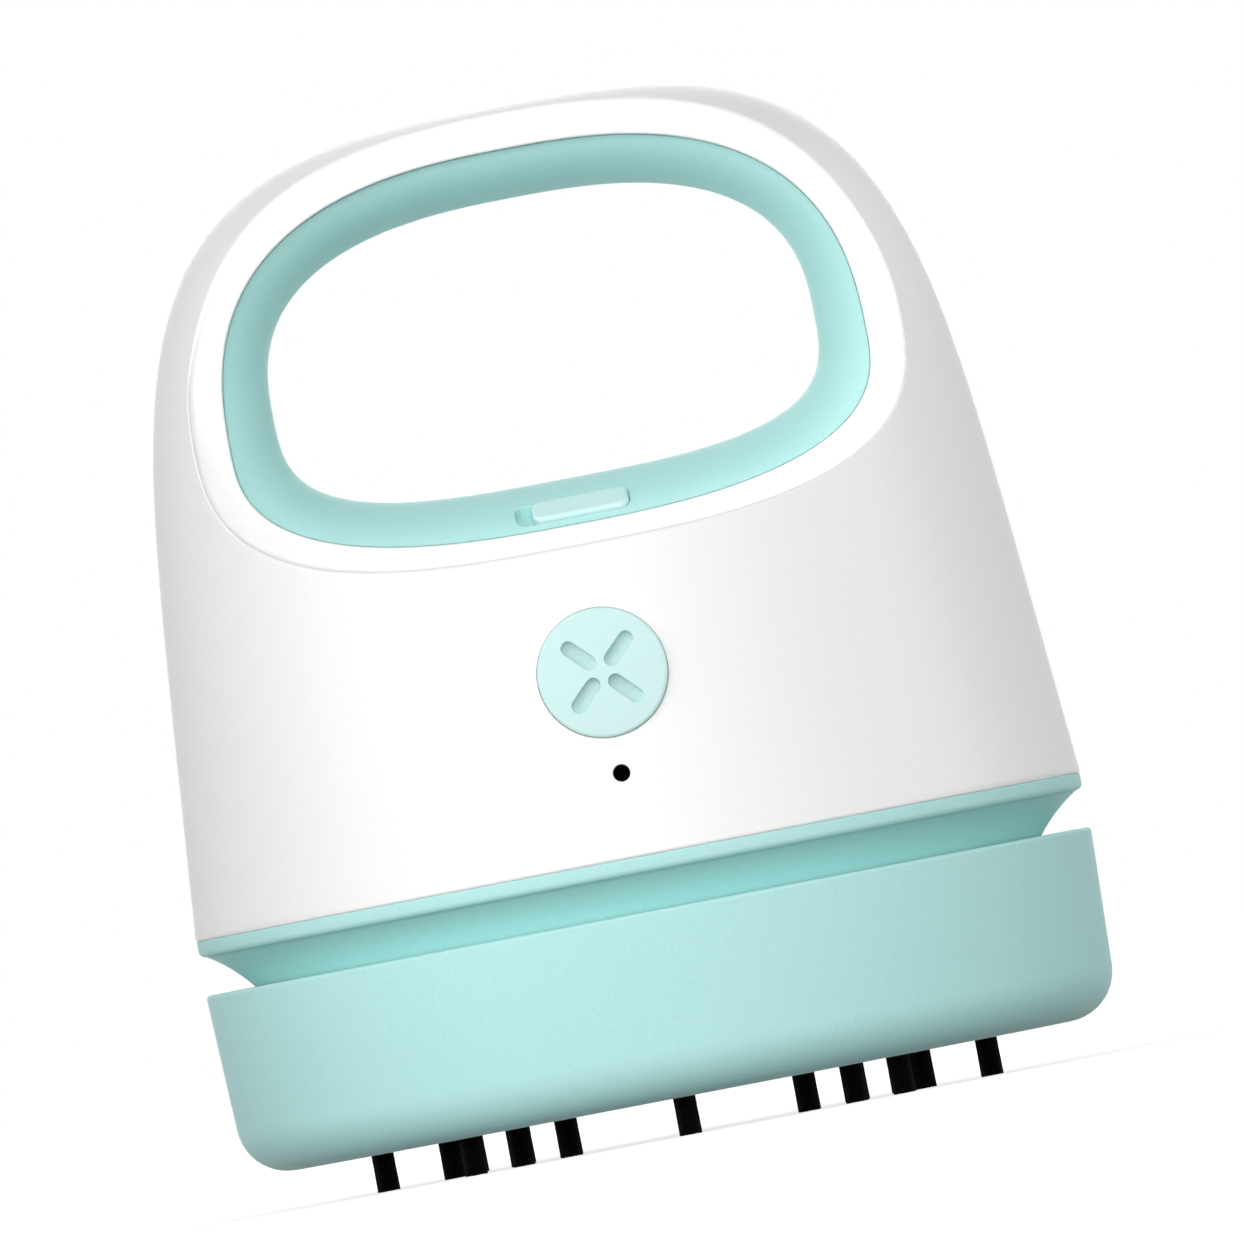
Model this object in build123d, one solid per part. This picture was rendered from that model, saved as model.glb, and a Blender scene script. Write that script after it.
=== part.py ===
from build123d import *
import os
from math import atan, cos, copysign, degrees, pi, radians, sin, sqrt

# Desktop mini vacuum cleaner, in millimetres. +Z is up, the push button faces -Y.
# The origin is on the floor below the centre, so the brush tufts end at z = 0.

# ---------------------------------------------------------------- driving dimensions
# Dome: r(t) = (radius - taper * t) * (1 - t ** crown_power) ** (1 / shoulder_power), t = 0 .. 1 upwards
shell_radius = 55.0
dome_height = 93.1
dome_taper = 7.9
crown_power = 6.0
shoulder_power = 3.3
shell_wall = 2.0
foot_round = 0.8             # the shells' lower edge

# Handle: a slab left standing between two scoops, with a lined finger opening through it
handle_depth = 37.8
shelf_height = 38.6          # scoop floor above the shell's lower edge
scoop_side = 11.2            # from the dome's side to the scoop's side
scoop_widest = 21.8          # widest level above the scoop floor
scoop_reach_up = 40.0        # the scoop's outline closes this far above its widest level
scoop_powers = (3.0, 2.0)    # roundness of the lower and the upper half
handle_side = 21.4           # from the dome's side to the clear opening
handle_top = 11.1            # from the dome's top down to the clear opening
opening_floor = 8.5          # clear opening above the scoop floor
opening_widest = 14.2
opening_powers = (3.25, 2.62)
flare = 6.1                  # the liner grows by this much from its throat to each face
flare_widest = 16.5
flare_powers = (2.66, 2.6)
liner_bow = 0.97             # share of a quarter ellipse that the liner's section takes up on each side
liner_wall = 1.8
liner_flange = 1.5

# Dust cup and its waist
tuft_length = 4.7
cup_height = 22.9
waist_height = 6.7
cup_wall = 2.2
cup_corner = 6.2
cup_draft = 0.8
cup_edge_round = 0.5
spigot_inset = 6.3           # the cup's outside to the spigot that enters it
spigot_wall = 3.0
spigot_depth = 10.0
collar_wall = 1.8
collar_depth = 8.2
seal_thickness = 1.7
seal_below_cup_top = 4.8
lip_height = 2.0
lip_inset = 0.1
lip_round = 0.8
neck_sag = 1.9
neck_level = 0.42            # share of the neck's height where it has left the spigot by neck_sag
web_thickness = 2.0
upstand_height = 4.2
upstand_wall = 1.8
rib_reach = 1.6              # the shells' rib overlaps the motor plate by this much

# Inlet, brush plate and tufts
inlet_radius = 11.0
chimney_wall = 2.0
chimney_height = 8.3
brush_plate_inset = 10.0
brush_plate_thickness = 2.5
floor_thickness = 2.0
tuft_radius = 1.4
tuft_seat = 1.6
tuft_spokes = 8
tuft_ring_inset = 17.5       # the cup's outside to the outer ring of tufts
tuft_ring_step = 8.3
tuft_ring_count = 3
base_screw_length = 6.0      # thread in the cup's bosses

# Filter
filter_ring_wall = 3.0
filter_ring_height = 6.0
filter_rib = 1.4
filter_pad_thickness = 4.0

# Fan and motor
impeller_radius = 30.0
impeller_height = 7.6
impeller_plate = 1.2
blade_bow = 7.2
blade_count = 9
blade_thickness = 1.2
hub_radius = 5.0
eye_radius = 14.0
fan_gap = 0.9
plate_thickness = 2.5
shaft_radius = 1.0
motor_radius = 12.2
motor_height = 23.0
end_cap_height = 3.5
end_cap_inset = 2.0
can_round = 1.2
terminal_size = (0.5, 2.4, 3.0)
motor_boss_radius = 4.0
motor_screw_circle = 8.0
window_inset = 9.0           # windows in the motor plate on both sides
window_width = 13.0
window_spread = 0.62
exhaust_level = 27.0         # slots in the rear shell, above its lower edge
exhaust_length = 9.0
exhaust_width = 1.8
exhaust_count = 9
exhaust_pitch = 6.0          # degrees

# Electronics
battery_radius = 7.1
battery_length = 50.0
battery_offset = 24.0
battery_round = 0.6
board_width = 30.0
board_height = 21.0
board_lift = 3.0             # board centre above the middle between button and lamp
board_thickness = 1.6
board_depth = 12.0           # control board behind the dome's skin, square to the button
board_slot = 1.2
rail_width = 3.0
board_room = 1.0
guide_wall = 1.4
tact_size = (6.0, 6.0, 3.4)
plunger_radius = 1.6
led_size = (2.0, 2.0, 0.8)
socket_width = 9.0
socket_height = 3.3
socket_length = 7.4
socket_overhang = 2.6
socket_skin = 0.4
socket_tongue = (5.6, 0.7)
socket_sunk = 0.6            # the socket's mouth below the dome's skin
window_room = 0.5
charge_board_width = 14.0
charge_board_thickness = 1.2
charge_board_height = 2.0    # above the motor plate
charge_board_room = 0.2      # between the board and the battery clamp
charge_post = 3.0
clamp_floor = 1.5
clamp_inset = 1.0
clamp_end = 4.0
clamp_hug = 0.7              # share of the cell's radius that the clamp rises

# Controls
key_length = 12.0
key_width = 3.9
key_proud = 0.5
key_travel = 2.0
key_side = 1.0               # the key rests this far right of the recess centre
key_corner = 1.2
key_round = 0.4
stem_size = (2.4, 1.2, 3.5)
stem_room = 0.3
recess_corner = 1.3
recess_wall = 1.2
recess_floor = 3.4           # from the liner's surface down to the switch
recess_depth = 1.2
recess_width = 4.4
recess_from_face = 4.2       # recess centre behind the handle's front face
recess_shift = 0.2
switch_size = (8.6, 3.6, 3.4)
button_radius = 8.05
button_level = 22.8          # above the shell's lower edge
button_proud = 0.5
button_crown = 60.0
button_travel = 1.0
button_rim = 0.45
slot_inner = 1.96
slot_outer = 5.03
slot_width = 1.77
slot_depth = 1.4
lens_radius = 1.0
lens_level = 10.4
button_flange = 1.0
flange_reach = 1.2
lens_sunk = 0.1

# Fasteners and fits
screw_radius = 1.1
screw_head_radius = 2.0
screw_head_height = 1.4
cross_length = 2.2
cross_width = 0.5
cross_depth = 0.6
boss_radius = 3.0
housing_screw_inset = 17.0
housing_boss_reach = 12.0    # thread in the front shell's bosses
plate_screw_inset = 12.0
plate_screw_reach = 7.0
plate_screw_turn = 45.0      # degrees
base_screw_inset = 22.0
base_screw_turn = 22.5       # degrees
motor_screw_reach = 2.0
thread_room = 2.0            # left free at the end of a blind pilot
running_gap = 0.3            # between bodies that move past each other
seat_gap = 0.15              # between pieces of one body
shaft_gap = 0.05
seal_gap = 0.1

# ---------------------------------------------------------------- levels worked out from them
cup_bottom = tuft_length
cup_top = cup_bottom + cup_height
shell_bottom = cup_top + waist_height
handle_half = handle_depth / 2
opening_height = dome_height - shelf_height - opening_floor - handle_top
opening_half_width = shell_radius - handle_side
spigot_radius = shell_radius - spigot_inset
brush_plate_radius = shell_radius - brush_plate_inset
plate_screw_circle = shell_radius - plate_screw_inset
base_screw_circle = shell_radius - base_screw_inset
housing_screw_x = shell_radius - housing_screw_inset
tuft_rings = [shell_radius - tuft_ring_inset - k * tuft_ring_step for k in range(tuft_ring_count)]
liner_half = handle_half - shell_wall
shelf = shell_bottom + shelf_height
cup_floor = cup_bottom + brush_plate_thickness
dust_floor = cup_floor + floor_thickness
spigot_bottom = cup_top - spigot_depth
collar_bore = spigot_radius + running_gap
web_top = cup_top
web_bottom = web_top - web_thickness
plate_bottom = shell_bottom + upstand_height
plate_top = plate_bottom + plate_thickness
spigot_bore = spigot_radius - spigot_wall
filter_radius = spigot_bore - seat_gap
filter_top = web_bottom - seat_gap
filter_bottom = filter_top - filter_ring_height
motor_top = plate_top + motor_height
far = 2 * shell_radius
BACK = Plane.XZ              # sketch plane: x to the right, y upwards, normal towards the front

opening_bottom = shelf + opening_floor
opening = dict(
    half_width=opening_half_width,
    bottom=opening_bottom,
    widest=opening_bottom + opening_widest,
    top=opening_bottom + opening_height,
)
mouth = dict(
    half_width=opening_half_width + flare,
    bottom=opening_bottom - flare,
    widest=opening_bottom - flare + flare_widest,
    top=opening_bottom + opening_height + flare,
)
scoop = dict(
    half_width=shell_radius - scoop_side,
    bottom=shelf,
    widest=shelf + scoop_widest,
    top=shelf + scoop_widest + scoop_reach_up,
)


# ---------------------------------------------------------------- shared shapes
def arch_points(half_width, bottom, widest, top, powers, grow=0.0, steps=14):
    """Right half of a rounded arch, from its lowest to its highest point.

    It is a superellipse below its widest level and another one above it.
    """
    points = []
    for step in range(steps + 1):
        angle = pi * (step / steps - 0.5)
        power = powers[1] if angle > 0 else powers[0]
        reach = top + grow - widest if angle > 0 else widest - bottom + grow
        across = (half_width + grow) * abs(cos(angle)) ** (2 / power)
        up = copysign(reach * abs(sin(angle)) ** (2 / power), angle)
        points.append((across, widest + up))
    return points


def closed_outline(right_half):
    """Smooth closed face through a right half and its mirror image, seen from the front."""
    left_half = [(-x, z) for x, z in right_half[-2:0:-1]]
    return make_face(Spline(*right_half, *left_half, periodic=True))


def arch_face(sizes, powers, grow=0.0):
    return closed_outline(arch_points(**sizes, powers=powers, grow=grow))


def liner_share(depth):
    """How far the liner has flared at a depth, from 0 in the middle to 1 at the faces, along an ellipse."""
    return (1 - sqrt(1 - (liner_bow * depth / liner_half) ** 2)) / (1 - sqrt(1 - liner_bow**2))


def liner_section(depth, grow=0.0):
    """Outline of the liner at a depth from the middle plane."""
    share = liner_share(depth)
    throat = arch_points(**opening, powers=opening_powers, grow=grow)
    face = arch_points(**mouth, powers=flare_powers, grow=grow)
    blend = [(a[0] + share * (b[0] - a[0]), a[1] + share * (b[1] - a[1])) for a, b in zip(throat, face)]
    return BACK.offset(depth) * closed_outline(blend)


def liner_loft(grow=0.0):
    depths = [liner_half * sin(step * pi / 10) for step in range(-5, 6)]
    sections = [liner_section(depth, grow) for depth in depths]
    return loft(sections)


def dome_radius(level, inset=0.0):
    """Radius of the dome at a level, for the outer skin or for one inset from it."""
    t = (level - shell_bottom) / (dome_height - inset)
    return (shell_radius - inset - dome_taper * t) * (1 - t**crown_power) ** (1 / shoulder_power)


def half_dome(inset=0.0, steps=14):
    """Front half of the body of revolution under the dome curve; the points crowd towards the crown.

    The outer skin has a quarter round at its foot.
    """
    height = dome_height - inset
    start = 0.0 if inset else foot_round
    ups = [1 - (1 - step / steps) ** shoulder_power for step in range(steps)]
    levels = [shell_bottom + start + up * (height - start) for up in ups]
    points = [(dome_radius(level, inset), level) for level in levels] + [(0, shell_bottom + height)]
    curve = Spline(*points, tangents=[(-dome_taper, dome_height), (-1, 0)])
    if start:
        edge = (points[0][0] - start, shell_bottom)
        knee = (edge[0] + start * sqrt(0.5), shell_bottom + start * (1 - sqrt(0.5)))
        curve = curve + ThreePointArc(edge, knee, points[0])
    else:
        edge = points[0]
    base = Polyline(points[-1], (0, shell_bottom), edge)
    return revolve(BACK * make_face(curve + base), Axis.Z, -180)


def front_scoop(grow=0.0):
    """Block that cuts the scoop; grown, it leaves the scoop's wall standing in the hollow."""
    outline = BACK * arch_face(scoop, scoop_powers, grow)
    return extrude(Pos(0, -(handle_half - grow), 0) * outline, far)


def ring(outer, inner, bottom, height):
    blank = Cylinder(outer, height, align=(Align.CENTER, Align.CENTER, Align.MIN))
    hole = Cylinder(inner, height, align=(Align.CENTER, Align.CENTER, Align.MIN))
    return Pos(0, 0, bottom) * (blank - hole)


def post(radius, bottom, height):
    return Pos(0, 0, bottom) * Cylinder(radius, height, align=(Align.CENTER, Align.CENTER, Align.MIN))


def block(width, depth, height, bottom):
    return Pos(0, 0, bottom) * Box(width, depth, height, align=(Align.CENTER, Align.CENTER, Align.MIN))


def around(shape, radius, count, start=0.0):
    """Copies of a shape on a circle about Z."""
    return [Rot(0, 0, start + 360 * k / count) * Pos(radius, 0, 0) * shape for k in range(count)]


def screw(length):
    """Pan-head screw: its head sits on z = 0 and its shank points down."""
    head = post(screw_head_radius, 0, screw_head_height)
    head = fillet(head.edges().group_by(Axis.Z)[-1], screw_head_height / 3)
    bar = Box(cross_length, cross_width, 2 * cross_depth)
    cross = bar + Rot(0, 0, 90) * bar
    return head + post(screw_radius, -length, length) - Pos(0, 0, screw_head_height) * cross


def save(node, shape):
    export_step(shape, os.path.join("parts", node + ".step"))


os.makedirs("parts", exist_ok=True)
upstand_radius = dome_radius(plate_top, shell_wall) - seat_gap

# ---------------------------------------------------------------- places of the controls
wall_slope = degrees(atan((dome_radius(shell_bottom + button_level - 1)
                           - dome_radius(shell_bottom + button_level + 1)) / 2))
button_z = shell_bottom + button_level
button_face = Plane(
    origin=(0, -dome_radius(button_z), button_z),
    x_dir=(1, 0, 0),
    z_dir=(0, -cos(radians(wall_slope)), sin(radians(wall_slope))),
)
recess_y = -(handle_half - recess_from_face)
recess_z = opening_bottom - flare * liner_share(recess_y)
recess_tilt = atan(flare * (liner_share(-recess_y + 0.01) - liner_share(-recess_y - 0.01)) / 0.02)
key_face = Plane(
    origin=(recess_shift, recess_y, recess_z),
    x_dir=(1, 0, 0),
    z_dir=(0, -sin(recess_tilt), cos(recess_tilt)),
)
recess_length = key_length + key_travel + 2 * seat_gap
guide_length = board_depth - tact_size[2] - button_travel - button_flange - seat_gap - running_gap
lens_drop = (lens_level - button_level) / cos(radians(wall_slope))
board_middle = lens_drop / 2 + board_lift
lower_screws = plate_top + shell_wall + 1.5 * boss_radius
upper_screws = shelf - shell_wall - 2 * boss_radius
housing_screw_spots = [(side * housing_screw_x, level)
                       for side in (-1, 1) for level in (lower_screws, upper_screws)]
socket_z = plate_top + charge_board_height + charge_board_thickness + socket_height / 2
socket_mouth = dome_radius(socket_z) - socket_sunk
charge_board_front = battery_offset + battery_radius - clamp_inset + charge_board_room
charge_board_depth = socket_mouth - socket_overhang - charge_board_front
charge_board_y = charge_board_front + charge_board_depth / 2
screw_well_y = sqrt(shell_radius**2 - housing_screw_x**2) - 3 * shell_wall - screw_head_height

# ---------------------------------------------------------------- shells
# What stands inside the shells is left out of the hollow that is cut from the dome: the rib that sits on
# the motor plate, the screw bosses, the button guide, the lamp guide and the control board's rails.
plate_rib = ring(shell_radius, upstand_radius - rib_reach, plate_top, shell_wall)
bosses = [Pos(x, -far / 2, z) * Rot(-90, 0, 0) * post(boss_radius, 0, far) for x, z in housing_screw_spots]
guide_bore = button_radius + running_gap
guide = post(guide_bore + guide_wall, -guide_length, far)
lens_boss = Pos(0, lens_drop, 0) * post(lens_radius + guide_wall, -guide_length, far)
rail_depth = board_depth + board_thickness + rail_width
board_place = Pos(0, board_middle, 0)
rails = [board_place * Pos(side * ((board_width + rail_width) / 2 - board_slot), 0, 0)
         * block(rail_width, board_height, far, -rail_depth) for side in (-1, 1)]
groove_size = (board_width + 2 * seat_gap, board_height + board_room, board_thickness + 2 * seat_gap)
board_groove = board_place * block(*groove_size, -board_depth - board_thickness - seat_gap)

skin = half_dome() - front_scoop() - extrude(BACK * arch_face(mouth, flare_powers), far)
hollow = half_dome(shell_wall) - front_scoop(shell_wall) - plate_rib - bosses
front_hollow = hollow - button_face * guide - button_face * lens_boss - [button_face * rail for rail in rails]
front = skin - front_hollow
rear = mirror(skin - hollow, Plane.XZ)
front = front - button_face * board_groove - button_face * post(guide_bore, -rail_depth, 2 * rail_depth)
front = front - button_face * Pos(0, lens_drop, 0) * post(lens_radius, -rail_depth, 2 * rail_depth)

# blind pilots in front, clear holes with wells for the heads behind
for x, z in housing_screw_spots:
    back_wards = Pos(x, 0, z) * Rot(-90, 0, 0)
    well = post(screw_head_radius + running_gap, screw_well_y, far)
    front = front - back_wards * post(screw_radius, -housing_boss_reach, housing_boss_reach)
    rear = rear - back_wards * well - back_wards * post(screw_radius, 0, far)

# exhaust slots and charging window behind
for k in range(exhaust_count):
    turn = 90 + exhaust_pitch * (k - (exhaust_count - 1) / 2)
    outline = Plane.YZ * SlotCenterToCenter(exhaust_length, exhaust_width, rotation=90)
    cut = extrude(Pos(0, 0, shell_bottom + exhaust_level) * outline, far)
    rear = rear - Rot(0, 0, turn) * cut
window = Plane.XZ * SlotOverall(socket_width + 2 * window_room, socket_height + 2 * window_room)
rear = rear - extrude(Pos(0, 0, socket_z) * window, -far)
save("front_shell", front)
save("rear_shell", rear)

# ---------------------------------------------------------------- handle liner and slide key
liner_flanges = []
for side in (-1, 1):
    outline = BACK * arch_face(mouth, flare_powers, liner_wall + liner_flange)
    flange = extrude(Pos(0, side * (liner_half - liner_wall / 2), 0) * outline, liner_wall / 2, both=True)
    liner_flanges.append(flange)
liner_room = half_dome(shell_wall + seat_gap)
liner = (liner_loft(liner_wall) + liner_flanges) & (liner_room + mirror(liner_room, Plane.XZ))
pocket_size = (recess_length + 2 * recess_wall, recess_width + 2 * recess_wall, recess_floor)
pocket = key_face * block(*pocket_size, -recess_floor) & Box(far, 2 * (liner_half - seat_gap), 2 * far)
liner = liner + pocket - liner_loft()
recess_outline = RectangleRounded(recess_length, recess_width, recess_corner)
liner = liner - key_face * Pos(0, 0, -recess_depth) * extrude(recess_outline, 2 * recess_floor)
stem_slot_size = (stem_size[0] + key_travel + 2 * stem_room, stem_size[1] + 2 * stem_room)
stem_slot = RectangleRounded(*stem_slot_size, stem_room)
liner = liner - key_face * extrude(stem_slot, 2 * recess_floor, both=True)
save("handle_liner", liner)

key_body = extrude(RectangleRounded(key_length, key_width, key_corner), recess_depth - seat_gap + key_proud)
key_body = fillet(key_body.faces().sort_by(Axis.Z)[-1].edges(), key_round)
key_stem = block(*stem_size, -stem_size[2])
key_rest = key_face * Pos(key_side, 0, -recess_depth + seat_gap)
save("power_slide", key_rest * (key_body + key_stem))

switch_body = block(*switch_size, -recess_floor - switch_size[2])
switch_slot = block(*stem_slot_size, switch_size[2], -recess_floor - switch_size[2] / 2)
save("slide_switch", key_face * (switch_body - switch_slot))

# ---------------------------------------------------------------- front button, lamp and control board
crown_rise = button_crown - sqrt(button_crown**2 - button_radius**2)
cap_back = -guide_length - seat_gap - button_flange
dish = ThreePointArc(
    (-button_radius, button_proud), (0, button_proud + crown_rise), (button_radius, button_proud))
cap_sides = Polyline(
    (button_radius, button_proud),
    (button_radius, cap_back),
    (-button_radius, cap_back),
    (-button_radius, button_proud))
cap_profile = make_face(dish + cap_sides)
cap = revolve(Plane.XZ * split(cap_profile, Plane.YZ), Axis.Z)
rim = cap.edges().filter_by(GeomType.CIRCLE).filter_by(lambda edge: edge.length > 6 * button_radius)
cap = fillet(rim.sort_by(Axis.Z)[-1], button_rim)
slot = extrude(SlotCenterToCenter(slot_outer - slot_inner, slot_width), far)
for quarter in range(4):
    turn = Rot(0, 0, 45 + 90 * quarter)
    cap = cap - turn * Pos((slot_inner + slot_outer) / 2, 0, button_proud + crown_rise - slot_depth) * slot
cap = cap + post(guide_bore + flange_reach, cap_back, button_flange)
save("front_button", button_face * cap)

tact_top = -board_depth + tact_size[2]
plunger_depth = tact_size[2] - board_thickness / 2
plunger_back = tact_top - plunger_depth + button_travel
plunger = post(plunger_radius, plunger_back, cap_back - plunger_back)
save("switch_plunger", button_face * plunger)
tact = block(*tact_size, -board_depth) - post(plunger_radius + running_gap, tact_top - plunger_depth, far)
save("tact_switch", button_face * tact)
save("control_board", button_face * Pos(0, board_middle, 0) * block(
    board_width, board_height - board_room, board_thickness, -board_depth - board_thickness))
save("status_led", button_face * Pos(0, lens_drop, 0) * block(*led_size, -board_depth))
lens_back = -board_depth + led_size[2] + seat_gap
lens = post(lens_radius, lens_back, -lens_back - lens_sunk)
save("indicator_lens", button_face * Pos(0, lens_drop, 0) * lens)

# ---------------------------------------------------------------- waist ring, seal and filter
lip_radius = shell_radius - lip_inset
lip_bottom = shell_bottom - lip_height
neck = ThreePointArc(
    (spigot_radius + seat_gap, cup_top),
    (spigot_radius + neck_sag, cup_top + neck_level * (waist_height - lip_height)),
    (lip_radius - lip_round, lip_bottom))
lip_knee = lip_round * (1 - sqrt(0.5))
lip_edge = ThreePointArc(
    (lip_radius - lip_round, lip_bottom),
    (lip_radius - lip_knee, lip_bottom + lip_knee),
    (lip_radius, lip_bottom + lip_round))
ring_walls = Polyline(
    (lip_radius, lip_bottom + lip_round),
    (lip_radius, shell_bottom),
    (upstand_radius, shell_bottom),
    (upstand_radius, plate_bottom),
    (upstand_radius - upstand_wall, plate_bottom),
    (upstand_radius - upstand_wall, lip_bottom),
    (spigot_bore, web_top + web_thickness),
    (spigot_bore, web_top),
    (eye_radius, web_top),
    (eye_radius, web_bottom),
    (spigot_bore - filter_ring_wall, web_bottom),
    (spigot_bore, web_bottom),
    (spigot_bore, spigot_bottom),
    (spigot_radius, spigot_bottom),
    (spigot_radius, cup_top),
    (spigot_radius + seat_gap, cup_top))
waist = revolve(BACK * make_face(neck + lip_edge + ring_walls), Axis.Z)
seal_z = cup_top - seal_below_cup_top
seal_centre = collar_bore - seal_gap - seal_thickness / 2
groove_floor = seal_centre - seal_thickness / 2
waist = waist - ring(far, groove_floor, seal_z - seal_thickness / 2 - seat_gap, seal_thickness + 2 * seat_gap)
plate_boss = post(boss_radius, web_top, plate_bottom - web_top)
plate_pilot = post(screw_radius, web_top, plate_bottom - web_top)
waist = waist + around(plate_boss, plate_screw_circle, 4, plate_screw_turn)
waist = waist - around(plate_pilot, plate_screw_circle, 4, plate_screw_turn)
save("waist_ring", waist)
save("cup_seal", Pos(0, 0, seal_z) * Torus(seal_centre, seal_thickness / 2))

frame_ring = ring(filter_radius, filter_radius - filter_ring_wall, filter_bottom, filter_ring_height)
rib_length = filter_radius - filter_ring_wall / 2
rib = Pos(rib_length / 2, 0, 0) * block(rib_length, filter_rib, filter_rib, filter_bottom)
filter_frame = frame_ring + around(rib, 0, 8) + ring(filter_radius / 2, filter_radius / 2 - filter_rib,
                                                     filter_bottom, filter_rib)
save("filter_frame", filter_frame)
pad_radius = filter_radius - filter_ring_wall - seat_gap
save("filter_pad", post(pad_radius, filter_bottom + filter_rib + shaft_gap, filter_pad_thickness))

# ---------------------------------------------------------------- dust cup, brush plate and tufts
side_bottom = (shell_radius - cup_draft, cup_bottom + cup_corner)
foot = (shell_radius - cup_draft - cup_corner, cup_bottom)
knee = 1 - sqrt(0.5)
cup_curve = ThreePointArc(
    foot, (foot[0] + cup_corner * (1 - knee), cup_bottom + cup_corner * knee), side_bottom)
inner_radius = shell_radius - cup_wall
cup_walls = Polyline(
    side_bottom,
    (shell_radius, cup_top - cup_edge_round),
    (shell_radius - cup_edge_round, cup_top),
    (collar_bore, cup_top),
    (collar_bore, cup_top - collar_depth),
    (collar_bore + collar_wall, cup_top - collar_depth),
    (collar_bore + collar_wall, cup_top - collar_wall),
    (inner_radius, cup_top - collar_wall),
    (inner_radius - cup_draft, side_bottom[1]),
    (foot[0], dust_floor),
    (inlet_radius + chimney_wall, dust_floor),
    (inlet_radius + chimney_wall, dust_floor + chimney_height - floor_thickness),
    (inlet_radius, dust_floor + chimney_height - floor_thickness),
    (inlet_radius, cup_floor),
    (brush_plate_radius + seat_gap, cup_floor),
    (brush_plate_radius + seat_gap, cup_bottom),
    foot)
cup = revolve(BACK * make_face(cup_curve + cup_walls), Axis.Z)
base_boss = post(boss_radius, dust_floor, base_screw_length - floor_thickness)
base_pilot = post(screw_radius, cup_floor, base_screw_length)
cup = cup + around(base_boss, base_screw_circle, 4, base_screw_turn)
cup = cup - around(base_pilot, base_screw_circle, 4, base_screw_turn)
save("dust_cup", cup)

tufts = []
sockets = []
for radius in tuft_rings:
    tufts += around(post(tuft_radius, 0, tuft_length + tuft_seat), radius, tuft_spokes)
    sockets += around(post(tuft_radius, cup_bottom, tuft_seat), radius, tuft_spokes)
head_seat = post(screw_head_radius + seat_gap, cup_bottom, screw_head_height)
plate_hole = post(screw_radius, cup_bottom, brush_plate_thickness)
brush_plate = ring(brush_plate_radius, inlet_radius, cup_bottom, brush_plate_thickness)
brush_plate = brush_plate - sockets
brush_plate = brush_plate - around(head_seat + plate_hole, base_screw_circle, 4, base_screw_turn)
save("brush_plate", brush_plate)
save("brush_tufts", Compound(children=tufts))
base_screw = Pos(0, 0, cup_bottom + screw_head_height) * Rot(180, 0, 0) * screw(
    base_screw_length + brush_plate_thickness - screw_head_height - seat_gap)
save("base_screws", Compound(children=around(base_screw, base_screw_circle, 4, base_screw_turn)))

# ---------------------------------------------------------------- motor plate, motor and impeller
motor_plate = post(upstand_radius, plate_bottom, plate_thickness)
motor_plate = motor_plate - post(motor_boss_radius + shaft_gap, plate_bottom, plate_thickness)
motor_plate = motor_plate - around(
    post(screw_radius + seat_gap, plate_bottom, plate_thickness), plate_screw_circle, 4, plate_screw_turn)
motor_plate = motor_plate - around(post(screw_radius, plate_bottom, plate_thickness), motor_screw_circle, 2)
window_outer = shell_radius - window_inset
window_ring = ring(window_outer, window_outer - window_width, plate_bottom, plate_thickness)
wedge = extrude(Plane.XY.offset(plate_bottom) * make_face(Polyline(
    (0, 0), (far, -far * window_spread), (far, far * window_spread), close=True)), plate_thickness)
motor_plate = motor_plate - (window_ring & wedge) - (window_ring & Rot(0, 0, 180) * wedge)
for side in (-1, 1):
    foot_post = Pos(side * (charge_board_width - charge_post) / 2, charge_board_y, 0)
    motor_plate = motor_plate + foot_post * block(charge_post, charge_post, charge_board_height, plate_top)
save("motor_plate", motor_plate)
plate_screw = Pos(0, 0, plate_top) * screw(plate_thickness + plate_screw_reach)
save("plate_screws", Compound(children=around(plate_screw, plate_screw_circle, 4, plate_screw_turn)))
motor_screw = Pos(0, 0, plate_bottom) * Rot(180, 0, 0) * screw(plate_thickness + motor_screw_reach)
save("motor_screws", Compound(children=around(motor_screw, motor_screw_circle, 2)))

can = fillet(post(motor_radius, plate_top, motor_height).edges().group_by(Axis.Z)[-1], can_round)
can = can + post(motor_boss_radius, plate_bottom, plate_thickness)
can = can - post(shaft_radius + shaft_gap, plate_bottom, motor_height * 0.8)
can = can - around(post(screw_radius, plate_top, motor_screw_reach), motor_screw_circle, 2)
save("motor_can", can)
end_cap = post(motor_radius - end_cap_inset, motor_top, end_cap_height)
terminals = around(block(*terminal_size, motor_top + end_cap_height), motor_radius / 2, 2)
save("motor_end_cap", end_cap + terminals)

fan_bottom = web_top + fan_gap
fan_top = fan_bottom + impeller_height
back_plate = post(impeller_radius, fan_top - impeller_plate, impeller_plate)
hub = post(hub_radius, fan_bottom, impeller_height)
blade_root = hub_radius - blade_thickness
blade_tip = impeller_radius - blade_thickness / 2
blade_arc = ThreePointArc((blade_root, 0), ((blade_root + blade_tip) / 2, blade_bow), (blade_tip, 0))
blade_height = impeller_height - impeller_plate
blade = extrude(Plane.XY.offset(fan_bottom) * trace(blade_arc, blade_thickness), blade_height)
impeller = back_plate + hub + around(blade, 0, blade_count)
impeller = impeller - post(shaft_radius, fan_bottom, impeller_height)
save("impeller", impeller)
shaft_bottom = fan_bottom + seat_gap
save("motor_shaft", post(shaft_radius, shaft_bottom, plate_bottom + motor_height * 0.75 - shaft_bottom))

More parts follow.
